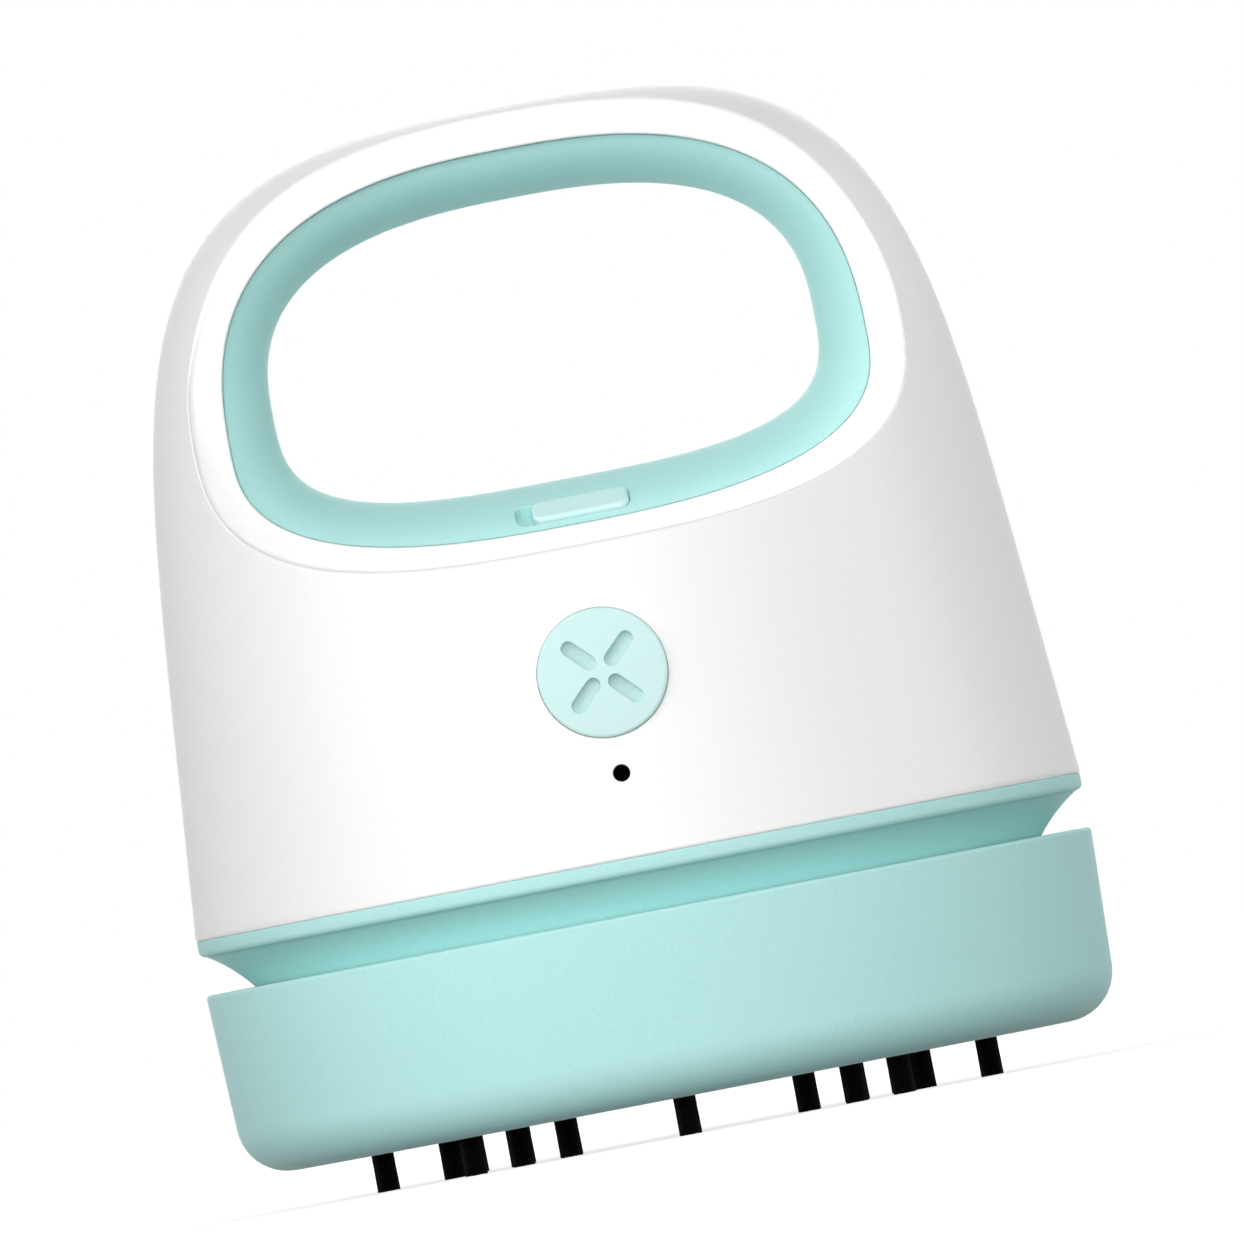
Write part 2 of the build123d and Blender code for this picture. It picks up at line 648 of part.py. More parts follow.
# ---------------------------------------------------------------- battery, charging socket and housing screws
battery_z = plate_top + clamp_floor + battery_radius
battery = Pos(0, battery_offset, battery_z) * Rot(0, 90, 0) * Cylinder(battery_radius, battery_length)
battery = fillet(battery.edges().filter_by(GeomType.CIRCLE), battery_round)
save("battery_cell", battery)
clamp_height = clamp_floor + clamp_hug * battery_radius
clamp = block(battery_length - 2 * clamp_end, 2 * (battery_radius - clamp_inset), clamp_height, plate_top)
cradle = Pos(0, 0, battery_z) * Rot(0, 90, 0) * Cylinder(battery_radius + shaft_gap, far)
save("battery_clamp", Pos(0, battery_offset, 0) * (clamp - cradle))

board_z = plate_top + charge_board_height
save("charge_board", Pos(0, charge_board_y, 0) * block(
    charge_board_width, charge_board_depth, charge_board_thickness, board_z))
socket = extrude(Plane.XZ * SlotOverall(socket_width, socket_height), -socket_length)
socket_bore = SlotOverall(socket_width - 2 * socket_skin, socket_height - 2 * socket_skin)
socket = socket - extrude(Plane.XZ.offset(-2 * socket_skin) * socket_bore, -socket_length)
tongue = Box(socket_tongue[0], socket_length - socket_skin, socket_tongue[1])
socket = socket + Pos(0, socket_length / 2, 0) * tongue
save("charge_socket", Pos(0, socket_mouth - socket_length, socket_z) * socket)

housing_screw = screw(screw_well_y + housing_boss_reach - thread_room)
save("housing_screws", Compound(children=[
    Pos(x, screw_well_y, z) * Rot(-90, 0, 0) * housing_screw for x, z in housing_screw_spots]))
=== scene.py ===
from math import atan2, cos, pi, radians, sin, sqrt

import bmesh
import bpy
import numpy as np
from mathutils import Euler, Matrix, Vector
from mathutils.bvhtree import BVHTree
from mathutils.interpolate import poly_3d_calc


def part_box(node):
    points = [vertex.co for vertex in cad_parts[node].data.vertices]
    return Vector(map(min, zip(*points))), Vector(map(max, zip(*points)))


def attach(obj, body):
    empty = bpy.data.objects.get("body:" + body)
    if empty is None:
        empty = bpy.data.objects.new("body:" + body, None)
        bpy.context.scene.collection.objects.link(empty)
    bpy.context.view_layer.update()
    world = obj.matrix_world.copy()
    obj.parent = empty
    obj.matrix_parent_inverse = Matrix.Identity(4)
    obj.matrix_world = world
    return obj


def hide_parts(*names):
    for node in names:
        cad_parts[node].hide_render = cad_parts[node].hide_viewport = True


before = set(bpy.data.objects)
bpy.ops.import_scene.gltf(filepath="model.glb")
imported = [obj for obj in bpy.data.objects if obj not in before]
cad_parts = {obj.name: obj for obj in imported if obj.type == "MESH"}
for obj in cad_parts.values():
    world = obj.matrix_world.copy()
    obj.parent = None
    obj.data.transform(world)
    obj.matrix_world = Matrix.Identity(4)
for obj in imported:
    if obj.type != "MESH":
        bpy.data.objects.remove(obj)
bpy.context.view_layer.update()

# ---------------------------------------------------------------- camera, floor and light
# The camera stands square to the push button, a little below the middle of the object, with a lens so long
# that edges stay parallel, and it is rolled so that the object leans to the left. The room is plain white.
MM = 0.001
LENS = 1700.0
SENSOR = 36.0
VIEW_WIDTH = 151.9 * MM
VIEW_CENTRE = Vector((3.49 * MM, 0.0, 62.9 * MM))
VIEW_DISTANCE = VIEW_WIDTH * LENS / SENSOR
CAMERA_DROP = 33.0 * MM
VIEW_ROLL = radians(-10.87)
camera_data = bpy.data.cameras.new("camera")
camera_data.lens = LENS
camera_data.sensor_width = SENSOR
camera_data.clip_end = 100.0
camera = bpy.data.objects.new("camera", camera_data)
camera.matrix_world = (
    Matrix.Translation(VIEW_CENTRE + Vector((0.0, -VIEW_DISTANCE, -CAMERA_DROP)))
    @ Euler((pi / 2 + atan2(CAMERA_DROP, VIEW_DISTANCE), 0.0, 0.0)).to_matrix().to_4x4()
    @ Matrix.Rotation(VIEW_ROLL, 4, "Z")
)
bpy.context.scene.collection.objects.link(camera)
bpy.context.scene.camera = camera
bpy.context.scene.view_settings.view_transform = "Standard"

LAMP_AIM = Vector((0.0, 0.0, 60.0 * MM))


def soft_box(name, azimuth, elevation, power, size=0.4, distance=0.9):
    """Square studio lamp that faces the object from a direction and that the camera doesn't see.

    Azimuth 0 is in front of the push button and +90 is on the right, in degrees.
    """
    turn, rise = radians(azimuth), radians(elevation)
    offset = distance * Vector((cos(rise) * sin(turn), -cos(rise) * cos(turn), sin(rise)))
    data = bpy.data.lights.new(name, "AREA")
    data.size = size
    data.energy = power
    lamp = bpy.data.objects.new(name, data)
    aim = (-offset).to_track_quat("-Z", "Y").to_matrix().to_4x4()
    lamp.matrix_world = Matrix.Translation(LAMP_AIM + offset) @ aim
    lamp.visible_camera = False
    bpy.context.scene.collection.objects.link(lamp)


soft_box("front", 0, 12, 3.1)
soft_box("front_left", -32, 12, 1.9)
soft_box("front_right", 32, 12, 0.45)
soft_box("left", -62, 12, 1.5)
soft_box("front_high", 0, 48, 1.0)
soft_box("back_right", 130, 20, 0.5)
soft_box("back", 180, 5, 1.6)
soft_box("back_high", 180, 45, 0.7)
soft_box("right_rim", 88, 8, 1.6)


def add_node(tree, kind, inputs=None, **settings):
    """Shader node of a kind, with its settings, and with constants on its inputs by name."""
    node = tree.nodes.new("ShaderNode" + kind)
    for key, value in settings.items():
        setattr(node, key, value)
    for key, value in (inputs or {}).items():
        node.inputs[key].default_value = value
    return node


def wire(tree, *links):
    """Links of (node, output, node, input), with the sockets by name or number."""
    for source, output, target, socket in links:
        tree.links.new(source.outputs[output], target.inputs[socket])


def background_rays(tree):
    """Node that gives 1 to the rays that show the background: camera, glossy and transmission rays."""
    path = add_node(tree, "LightPath")
    seen = add_node(tree, "Math", operation="MAXIMUM")
    shown = add_node(tree, "Math", operation="MAXIMUM")
    wire(tree, (path, "Is Camera Ray", seen, 0), (path, "Is Glossy Ray", seen, 1),
         (seen, 0, shown, 0), (path, "Is Transmission Ray", shown, 1))
    return shown


WHITE = (1.0, 1.0, 1.0, 1.0)
world = bpy.data.worlds.new("white_room")
bpy.context.scene.world = world
world.use_nodes = True
tree = world.node_tree
tree.nodes.clear()
room = add_node(tree, "Background", {"Color": WHITE, "Strength": 0.2})
backdrop = add_node(tree, "Background", {"Color": WHITE, "Strength": 1.0})
choice = add_node(tree, "MixShader")
world_out = add_node(tree, "OutputWorld")
wire(tree, (background_rays(tree), 0, choice, 0), (room, 0, choice, 1), (backdrop, 0, choice, 2),
     (choice, 0, world_out, 0))

# The floor is grey to the light, with a glow on top that the camera sees as white and that fades a little
# under the object.
FLOOR_HALF = 6.0
floor_mesh = bpy.data.meshes.new("floor")
floor_corners = FLOOR_HALF * np.array([(-1, -1, 0), (1, -1, 0), (1, 1, 0), (-1, 1, 0)])
floor_mesh.from_pydata(floor_corners, [], [(0, 1, 2, 3)])
floor = bpy.data.objects.new("floor", floor_mesh)
bpy.context.scene.collection.objects.link(floor)
floor_finish = bpy.data.materials.new("pale_floor")
floor_finish.use_nodes = True
tree = floor_finish.node_tree
tree.nodes.clear()
paint = add_node(tree, "BsdfDiffuse", {"Color": (0.35, 0.35, 0.35, 1.0)})
place = add_node(tree, "TexCoord")
reach = add_node(tree, "VectorMath", operation="LENGTH")
fade = add_node(tree, "MapRange", {"From Min": 0.05, "From Max": 0.20, "To Min": 0.78, "To Max": 1.0},
                interpolation_type="SMOOTHSTEP")
strength = add_node(tree, "Math", operation="MULTIPLY")
glow = add_node(tree, "Emission")
both = add_node(tree, "AddShader")
floor_out = add_node(tree, "OutputMaterial")
wire(tree, (place, "Object", reach, 0), (reach, "Value", fade, "Value"), (fade, 0, strength, 0),
     (background_rays(tree), 0, strength, 1), (strength, 0, glow, "Strength"), (paint, 0, both, 0),
     (glow, 0, both, 1), (both, 0, floor_out, 0))
floor_mesh.materials.append(floor_finish)

# ---------------------------------------------------------------- white shells
# Two thin injection-moulded halves of white plastic, joined on the plane through the middle of the handle.
# Each is half a dome of revolution with a scoop cut away, which leaves the flat cheek of the handle round
# the opening.
shell_low, shell_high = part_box("front_shell")
SHELL_RADIUS = 55.0 * MM
SHELL_BOTTOM = shell_low.z
DOME_HEIGHT = shell_high.z - shell_low.z
DOME_TAPER = 7.9 * MM
CROWN_POWER = 6.0
SHOULDER_POWER = 3.3
SHELL_WALL = 2.0 * MM
HANDLE_HALF = 18.9 * MM
LINER_HALF = HANDLE_HALF - SHELL_WALL
SHELF = SHELL_BOTTOM + 38.6 * MM
OPENING_HALF = 33.6 * MM
OPENING_BOTTOM = SHELF + 8.5 * MM
OPENING_TOP = OPENING_BOTTOM + 34.9 * MM
FLARE = 5.85 * MM
OPENING = dict(half_width=OPENING_HALF, bottom=OPENING_BOTTOM, widest=OPENING_BOTTOM + 14.2 * MM,
               top=OPENING_TOP, powers=(3.25, 2.62))
MOUTH = dict(half_width=OPENING_HALF + FLARE, bottom=OPENING_BOTTOM - FLARE,
             widest=OPENING_BOTTOM + 10.4 * MM, top=OPENING_TOP + FLARE, powers=(2.66, 2.6))
SCOOP = dict(half_width=43.8 * MM, bottom=SHELF, widest=SHELF + 21.8 * MM,
             top=SHELF + 61.8 * MM, powers=(3.0, 2.0))
RAY_CENTRE = OPENING["widest"]
PARTING_GAP = 0.015 * MM
EDGE_BLEND = 0.8 * MM
FOOT_ROUND = 0.4 * MM
outline_turn = np.linspace(-pi, pi, 6001)[:-1]


def dome_radius(level, inset=0.0):
    """r = (R - inset - taper t) (1 - t^crown)^(1/shoulder), where t runs from 0 at the foot to 1 at the top.

    The outer skin also curls in by a quarter round at its foot.
    """
    t = np.clip((level - SHELL_BOTTOM) / (DOME_HEIGHT - inset), 0.0, 1.0)
    radius = (SHELL_RADIUS - inset - DOME_TAPER * t) * (1 - t**CROWN_POWER) ** (1 / SHOULDER_POWER)
    if inset == 0.0:
        curl = np.clip((SHELL_BOTTOM + FOOT_ROUND - level) / FOOT_ROUND, 0.0, 1.0)
        radius = radius - FOOT_ROUND * (1 - np.sqrt(1 - curl**2))
    return radius


def arch(angle, half_width, bottom, widest, top, powers, grow=0.0):
    """Rounded arch in the X-Z plane: x = w |cos|^(2/p), z = widest + h |sin|^(2/p), one p for each half."""
    power = np.where(np.sin(angle) > 0, powers[1], powers[0])
    rise = np.where(np.sin(angle) > 0, top + grow - widest, widest - bottom + grow)
    x = (half_width + grow) * np.sign(np.cos(angle)) * np.abs(np.cos(angle)) ** (2 / power)
    z = widest + rise * np.sign(np.sin(angle)) * np.abs(np.sin(angle)) ** (2 / power)
    return x, z


def reach_along(rays, x, z):
    """Distance from the ray centre to a closed outline, read off along each ray's angle."""
    angle = np.arctan2(z - RAY_CENTRE, x)
    order = np.argsort(angle)
    return np.interp(rays, angle[order], np.hypot(x, z - RAY_CENTRE)[order], period=2 * pi)


def outline_reach(rays, sizes, grow=0.0):
    """Distance from the ray centre to an arch of given sizes, grown by an offset."""
    return reach_along(rays, *arch(outline_turn, **sizes, grow=grow))


def dome_outline(depth, inset):
    """Outline of the dome in the plane at a depth, x = sqrt(r(z)^2 - depth^2), closed by its foot."""
    climb = 1 - (1 - np.linspace(0, 1, 3001)) ** SHOULDER_POWER
    curl = FOOT_ROUND * (1 - np.cos(np.linspace(0, pi / 2, 400)))
    level = SHELL_BOTTOM + np.unique(np.concatenate([curl, climb * (DOME_HEIGHT - inset)]))
    radius = dome_radius(level, inset)
    apex = np.interp(-abs(depth), -radius, level)
    level = level[radius > abs(depth)]
    half = np.sqrt(radius[radius > abs(depth)] ** 2 - depth**2)
    foot = np.linspace(-half[0], half[0], 1001)[1:-1]
    x = np.concatenate([half, [0.0], -half, foot])
    z = np.concatenate([level, [apex], level, np.full(foot.shape, SHELL_BOTTOM)])
    keep = np.hypot(x, z - RAY_CENTRE) > 1e-6
    return x[keep], z[keep]


def eased(run, width):
    """The ramp max(run, 0) averaged over a window: a corner rounded over that window."""
    return np.where(np.abs(run) < width, (run + width) ** 2 / (4 * width), np.maximum(run, 0.0))


def shell_skin(rays, inset, rounds, rim, fine, coarse, last):
    """Half of the shell's skin as an array of rays by rows, from the mouth of the handle to the dome's edge.

    Along each ray the section is a path of straight runs: out of the mouth, along the cheek, up the wall of
    the scoop, then along the dome. Each corner is eased, and past the last corner the dome's own curve is
    added to its tangent. The dome's rows are spaced evenly by length, with the last few close to the edge.
    The cheek ends at the scoop's outline or at the dome, whichever is nearer, with a smooth change-over.
    """
    rays = rays[:, None]
    cheek = HANDLE_HALF - inset
    mouth = outline_reach(rays, MOUTH)
    scoop_edge = outline_reach(rays, SCOOP, inset)
    dome_edge = reach_along(rays, *dome_outline(cheek, inset))
    edge = (scoop_edge + dome_edge - np.sqrt((scoop_edge - dome_edge) ** 2 + EDGE_BLEND**2)) / 2
    end = reach_along(rays, *dome_outline(PARTING_GAP, inset))

    def dome_depth(run):
        """Depth of the dome's skin at a distance along each ray, y^2 = r(z)^2 - x^2."""
        level = RAY_CENTRE + run * np.sin(rays)
        square = dome_radius(level, inset) ** 2 - (run * np.cos(rays)) ** 2
        return np.sqrt(np.clip(square, PARTING_GAP**2, None))

    crest = np.maximum(dome_depth(edge), cheek)
    nudge = 1e-6
    fall = (dome_depth(edge + nudge) - dome_depth(edge)) / nudge
    out = 1 / np.sqrt(1 + fall**2)
    first = rim + 0 * rays
    second = first + edge - mouth
    third = second + crest - cheek
    width_a, width_b, width_c = rounds
    around = np.linspace(-1, 1, fine)
    rows = np.concatenate([
        np.zeros_like(rays), first + width_a * around, (first + second) / 2,
        second + width_b * around, third + width_c * around], axis=1)
    rows = np.sort(np.clip(rows, 0.0, third + width_c), axis=1)
    a, b, c = (eased(rows - corner, width) for corner, width in
               ((first, width_a), (second, width_b), (third, width_c)))
    run = mouth + a - b + out * c
    along = out * np.maximum(rows - third, 0.0)
    depth = cheek - rim + rows - a + b + (out * fall - 1) * c
    depth = depth + dome_depth(edge + along) - dome_depth(edge) - fall * along
    start = edge + out * width_c
    share = 1 - (1 - np.linspace(0, 1, 400)) ** 3
    fine_run = start + share * (end - start)
    fine_depth = dome_depth(fine_run)
    step = np.hypot(np.diff(fine_run, axis=1), np.diff(fine_depth, axis=1))
    length = np.concatenate([np.zeros_like(rays), np.cumsum(step, axis=1)], axis=1)
    close = np.minimum(2.0 * FOOT_ROUND, length[:, -1:] / 4)
    wanted = np.concatenate([
        np.linspace(0, 1, coarse)[1:] * (length[:, -1:] - close),
        length[:, -1:] - close * (1 - np.linspace(0, 1, last)[1:])], axis=1)
    far_run = np.array([np.interp(w, l, r) for w, l, r in zip(wanted, length, fine_run)])
    run = np.concatenate([run, far_run], axis=1)
    depth = np.concatenate([depth, dome_depth(far_run)], axis=1)
    return np.stack([run * np.cos(rays), -depth, RAY_CENTRE + run * np.sin(rays)], axis=-1)


def grid_mesh(name, points, closed_rows=False, closed_columns=False):
    """Mesh of quads on an array of rows by columns of points, closed round either way."""
    count_u, count_v = points.shape[:2]
    u = np.arange(count_u if closed_rows else count_u - 1)
    v = np.arange(count_v if closed_columns else count_v - 1)
    low, across = np.meshgrid(u, v, indexing="ij")
    up, over = (low + 1) % count_u * count_v, (across + 1) % count_v
    low = low * count_v
    quads = np.stack([low + across, low + over, up + over, up + across], axis=-1)
    mesh = bpy.data.meshes.new(name)
    mesh.from_pydata(points.reshape(-1, 3), [], quads.reshape(-1, 4))
    return mesh


def tidy_mesh(mesh, distance=1e-6):
    """Merges doubled points, drops collapsed faces and turns the faces outwards."""
    work = bmesh.new()
    work.from_mesh(mesh)
    bmesh.ops.remove_doubles(work, verts=work.verts, dist=distance)
    bmesh.ops.dissolve_degenerate(work, edges=work.edges, dist=distance / 10)
    bmesh.ops.recalc_face_normals(work, faces=work.faces)
    work.to_mesh(mesh)
    work.free()
    return mesh


def smooth(mesh, angle=35.0):
    """Shades a mesh smooth, and keeps the edges sharp where two faces meet at more than an angle."""
    mesh.shade_smooth()
    mesh.set_sharp_from_angle(angle=radians(angle))
    return mesh


def add_piece(name, mesh, body, finish, node):
    """Puts a finished mesh in the scene on a body, with its material, in place of a CAD node."""
    piece = bpy.data.objects.new(name, mesh)
    bpy.context.scene.collection.objects.link(piece)
    mesh.materials.clear()
    mesh.materials.append(finish)
    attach(piece, body)
    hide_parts(node)
    return piece


def joined(name, meshes):
    """One mesh out of several."""
    work = bmesh.new()
    for mesh in meshes:
        work.from_mesh(mesh)
    result = bpy.data.meshes.new(name)
    work.to_mesh(result)
    work.free()
    return result


def combine(mesh, cutter, operation):
    """Exact boolean of two closed meshes."""
    base, tool = bpy.data.objects.new("work", mesh), bpy.data.objects.new("tool", cutter)
    for part in (base, tool):
        bpy.context.scene.collection.objects.link(part)
    step = base.modifiers.new("combine", "BOOLEAN")
    step.operation = operation
    step.solver = "EXACT"
    step.object = tool
    bpy.context.view_layer.update()
    shape = base.evaluated_get(bpy.context.evaluated_depsgraph_get())
    result = bpy.data.meshes.new_from_object(shape)
    for part in (base, tool):
        bpy.data.objects.remove(part)
    return result


SAME_PLACE = 0.02 * MM
SAME_BEND = 0.995


def cut_smooth(mesh, cutter, angle=35.0):
    """Cuts a mesh and keeps the shading of its uncut skin, so that holes leave no dents in the reflections.

    Corners of the faces that still lie on the old skin get the old skin's normal at that point.
    """
    mesh.calc_loop_triangles()
    points = [vertex.co.copy() for vertex in mesh.vertices]
    triangles = [tuple(triangle.vertices) for triangle in mesh.loop_triangles]
    skin = BVHTree.FromPolygons(points, triangles)
    bends = [vertex.normal.copy() for vertex in mesh.vertices]
    result = smooth(combine(mesh, cutter, "DIFFERENCE"), angle)
    old_skin = np.zeros(len(result.polygons), dtype=bool)
    for polygon in result.polygons:
        place, bend, index, distance = skin.find_nearest(polygon.center)
        old_skin[polygon.index] = distance < SAME_PLACE and bend.dot(polygon.normal) > SAME_BEND
    owners = {}
    for polygon in result.polygons:
        for key in polygon.edge_keys:
            owners.setdefault(key, []).append(old_skin[polygon.index])
    edges = {edge.key: edge for edge in result.edges}
    for key, sides in owners.items():
        if len(sides) == 2 and sides[0] != sides[1]:
            edges[key].use_edge_sharp = True
    normals = [(0.0, 0.0, 0.0)] * len(result.loops)
    known = {}
    for polygon in result.polygons:
        if not old_skin[polygon.index]:
            continue
        for loop in polygon.loop_indices:
            vertex = result.loops[loop].vertex_index
            if vertex not in known:
                place, bend, index, distance = skin.find_nearest(result.vertices[vertex].co)
                corners = triangles[index]
                parts = poly_3d_calc([points[corner] for corner in corners], place)
                blend = sum((bends[corner] * part for corner, part in zip(corners, parts)), Vector())
                known[vertex] = blend.normalized()[:]
            normals[loop] = known[vertex]
    result.normals_split_custom_set(normals)
    return result


def new_finish(name, inputs):
    """Material with constants on its Principled shader's inputs; gives it with its tree and that shader."""
    finish = bpy.data.materials.new(name)
    finish.use_nodes = True
    shader = finish.node_tree.nodes["Principled BSDF"]
    for key, value in inputs.items():
        shader.inputs[key].default_value = value
    return finish, finish.node_tree, shader


def tone_ramp(tree, positions, colours):
    """Colour ramp with two stops."""
    ramp = add_node(tree, "ValToRGB")
    for stop, position, colour in zip(ramp.color_ramp.elements, positions, colours):
        stop.position = position
        stop.color = (*colour, 1.0)
    return ramp


def moulded_plastic(name, colour, roughness, sheen=0.5, grain=0.2, mottle=0.015):
    """Satin moulded plastic: a fine spark-eroded grain in tone and bump, and slow, faint changes of gloss."""
    finish, tree, shader = new_finish(name, {"Specular IOR Level": sheen})
    darker = [channel * (1 - mottle) for channel in colour]
    lighter = [min(1.0, channel * (1 + mottle)) for channel in colour]
    place = add_node(tree, "TexCoord")
    slow = add_node(tree, "TexNoise", {"Scale": 28.0, "Detail": 3.0})
    fine = add_node(tree, "TexNoise", {"Scale": 2600.0, "Detail": 2.0})
    speckle = add_node(tree, "Mix", {"Factor": 0.6})
    tone = tone_ramp(tree, (0.35, 0.65), (darker, lighter))
    gloss = add_node(tree, "MapRange", {"To Min": roughness - 0.04, "To Max": roughness + 0.04})
    bump = add_node(tree, "Bump", {"Strength": grain, "Distance": 0.02 * MM})
    wire(tree, (place, "Object", slow, "Vector"), (place, "Object", fine, "Vector"),
         (slow, "Fac", speckle, "A"), (fine, "Fac", speckle, "B"), (speckle, "Result", tone, "Fac"),
         (tone, "Color", shader, "Base Color"), (slow, "Fac", gloss, "Value"),
         (gloss, 0, shader, "Roughness"), (fine, "Fac", bump, "Height"), (bump, 0, shader, "Normal"))
    return finish


white_plastic = moulded_plastic("white_plastic", (0.90, 0.90, 0.893), 0.45)
foot_half = SHELL_RADIUS - FOOT_ROUND
foot_rays = np.arctan2(SHELL_BOTTOM - RAY_CENTRE, foot_half * np.sin(np.linspace(-pi / 2, pi / 2, 97)))
curl = np.linspace(0, pi / 2, 9)[1:]
curl_reach = foot_half + FOOT_ROUND * np.sin(curl)
curl_level = SHELL_BOTTOM + FOOT_ROUND * (1 - np.cos(curl)) - RAY_CENTRE
curl_right = np.arctan2(curl_level, curl_reach)
curl_left = np.arctan2(curl_level, -curl_reach) + 2 * pi
side_rays = np.linspace(curl_right[-1], curl_left[-1], 281)[1:-1]
shell_rays = np.concatenate([foot_rays, curl_right, side_rays, curl_left[::-1]])
outer_skin = shell_skin(shell_rays, 0.0, (0.35 * MM, 0.8 * MM, 0.8 * MM), SHELL_WALL, 7, 48, 8)
inner_skin = shell_skin(shell_rays, SHELL_WALL, (0.1 * MM, 0.2 * MM, 0.2 * MM), 0.0, 2, 16, 3)
half_shell = np.concatenate([outer_skin, inner_skin[:, :0:-1]], axis=1)


def half_shell_mesh(name, side):
    """One closed half: the outer skin out to its edge and the inner skin back; side -1 is the front."""
    points = half_shell * np.array([1.0, -side, 1.0])
    return tidy_mesh(grid_mesh(name, points, closed_rows=True, closed_columns=True))


def circle(radius, count=96):
    """Outline function: the points of a circle grown by an offset."""
    turn = np.linspace(0, 2 * pi, count, endpoint=False)
    return lambda offset: (radius + offset) * np.stack([np.cos(turn), np.sin(turn)], axis=1)


def bar_outline(length, width, corner, count=12):
    """Outline function: a rectangle with rounded corners, grown by an offset."""
    def grown(offset):
        points = []
        for quarter, (side_x, side_y) in enumerate(((1, 1), (-1, 1), (-1, -1), (1, -1))):
            turn = np.linspace(0, pi / 2, count) + quarter * pi / 2
            x = side_x * (length / 2 - corner) + (corner + offset) * np.cos(turn)
            y = side_y * (width / 2 - corner) + (corner + offset) * np.sin(turn)
            points.append(np.stack([x, y], axis=1))
        return np.concatenate(points)
    return grown


def at_height(flat, height):
    """Points of a plane, raised by one height or by a height each."""
    return np.column_stack([flat, np.broadcast_to(height, len(flat))])


def capped(name, rings, place=Matrix.Identity(4)):
    """Closed mesh through a list of rings of points, shut by a fan at either end."""
    ends = [np.broadcast_to(ring.mean(axis=0), ring.shape) for ring in (rings[0], rings[-1])]
    points = np.stack([ends[0], *rings, ends[1]])
    mesh = tidy_mesh(grid_mesh(name, points, closed_columns=True), 1e-8)
    mesh.transform(place)
    return mesh


def stack(name, outline, levels, place=Matrix.Identity(4), ground=None):
    """Closed mesh of one outline stacked at levels of (offset, height).

    With a ground the heights are counted from that surface: it gives the height under points of the plane.
    """
    rings = []
    for offset, height in levels:
        flat = outline(offset)
        rings.append(at_height(flat, height + (ground(flat) if ground else 0.0)))
    return capped(name, rings, place)


def placed(place, flat, height):
    """Points of the plane of a place, raised by their heights, as x, y and z of the object."""
    return (np.array(place) @ np.column_stack([flat, height, np.ones(len(flat))]).T)[:3]


def seat_on_dome(place):
    """Function for the height of the dome's skin over the plane of a place, found by stepping closer."""
    def ground(flat):
        height = np.zeros(len(flat))
        for _ in range(12):
            x, y, z = placed(place, flat, height)
            height = height - (np.hypot(x, y) - dome_radius(z))
        return height
    return ground


EDGE_SLOPE = 0.27
CUTTER_RISE = 3.0 * MM


def eased_edge(radius, deep, high):
    """Levels of a hole's cutter from its bottom up to well above the skin, with the skin's edge rounded."""
    turns = np.radians([0, 15, 30, 45, 60, 75])
    levels = [(0.0, -deep)]
    levels += [(radius * (1 - cos(turn)), -radius + radius * sin(turn)) for turn in turns]
    offset, height = levels[-1]
    offset += (high - height) / EDGE_SLOPE
    return levels + [(offset, high), (offset, high + CUTTER_RISE)]


def facing(origin, x_axis, z_axis):
    """Matrix of a plane from its origin, its x axis and its outward normal."""
    x_axis, z_axis = Vector(x_axis).normalized(), Vector(z_axis).normalized()
    turn = Matrix((x_axis, z_axis.cross(x_axis), z_axis)).transposed().to_4x4()
    return Matrix.Translation(origin) @ turn


BUTTON_LEVEL = SHELL_BOTTOM + 22.8 * MM
BUTTON_RADIUS = 7.95 * MM
BUTTON_GAP = 0.06 * MM
LENS_RADIUS = 1.0 * MM
LENS_GAP = 0.05 * MM
LENS_DROP = 12.446 * MM
GUIDE_WALL = 1.4 * MM
GUIDE_LEVELS = [(0.0, -6.1 * MM), (0.0, -1.9 * MM)]
BORE_DEPTH = 9.0 * MM
slope = (dome_radius(BUTTON_LEVEL - MM) - dome_radius(BUTTON_LEVEL + MM)) / (2 * MM)
BUTTON_PLACE = facing((0.0, -dome_radius(BUTTON_LEVEL), BUTTON_LEVEL), (1.0, 0.0, 0.0), (0.0, -1.0, slope))
LENS_PLACE = BUTTON_PLACE @ Matrix.Translation((0.0, -LENS_DROP, 0.0))
bore = stack("bore", circle(BUTTON_RADIUS + BUTTON_GAP, 128), eased_edge(0.06 * MM, BORE_DEPTH, 0.05 * MM),
             BUTTON_PLACE, seat_on_dome(BUTTON_PLACE))
lamp_hole = stack("lamp_hole", circle(LENS_RADIUS + LENS_GAP, 48),
                  eased_edge(0.12 * MM, BORE_DEPTH, 0.05 * MM), LENS_PLACE, seat_on_dome(LENS_PLACE))
guides = [stack("guide", circle(radius + GUIDE_WALL), GUIDE_LEVELS, place)
          for radius, place in ((BUTTON_RADIUS + BUTTON_GAP, BUTTON_PLACE), (LENS_RADIUS, LENS_PLACE))]
front_mesh = combine(half_shell_mesh("front_shell", -1), joined("guides", guides), "UNION")
front_mesh = cut_smooth(smooth(front_mesh), joined("front_cuts", [bore, lamp_hole]))
add_piece("front_shell_moulding", front_mesh, "main_unit", white_plastic, "front_shell")

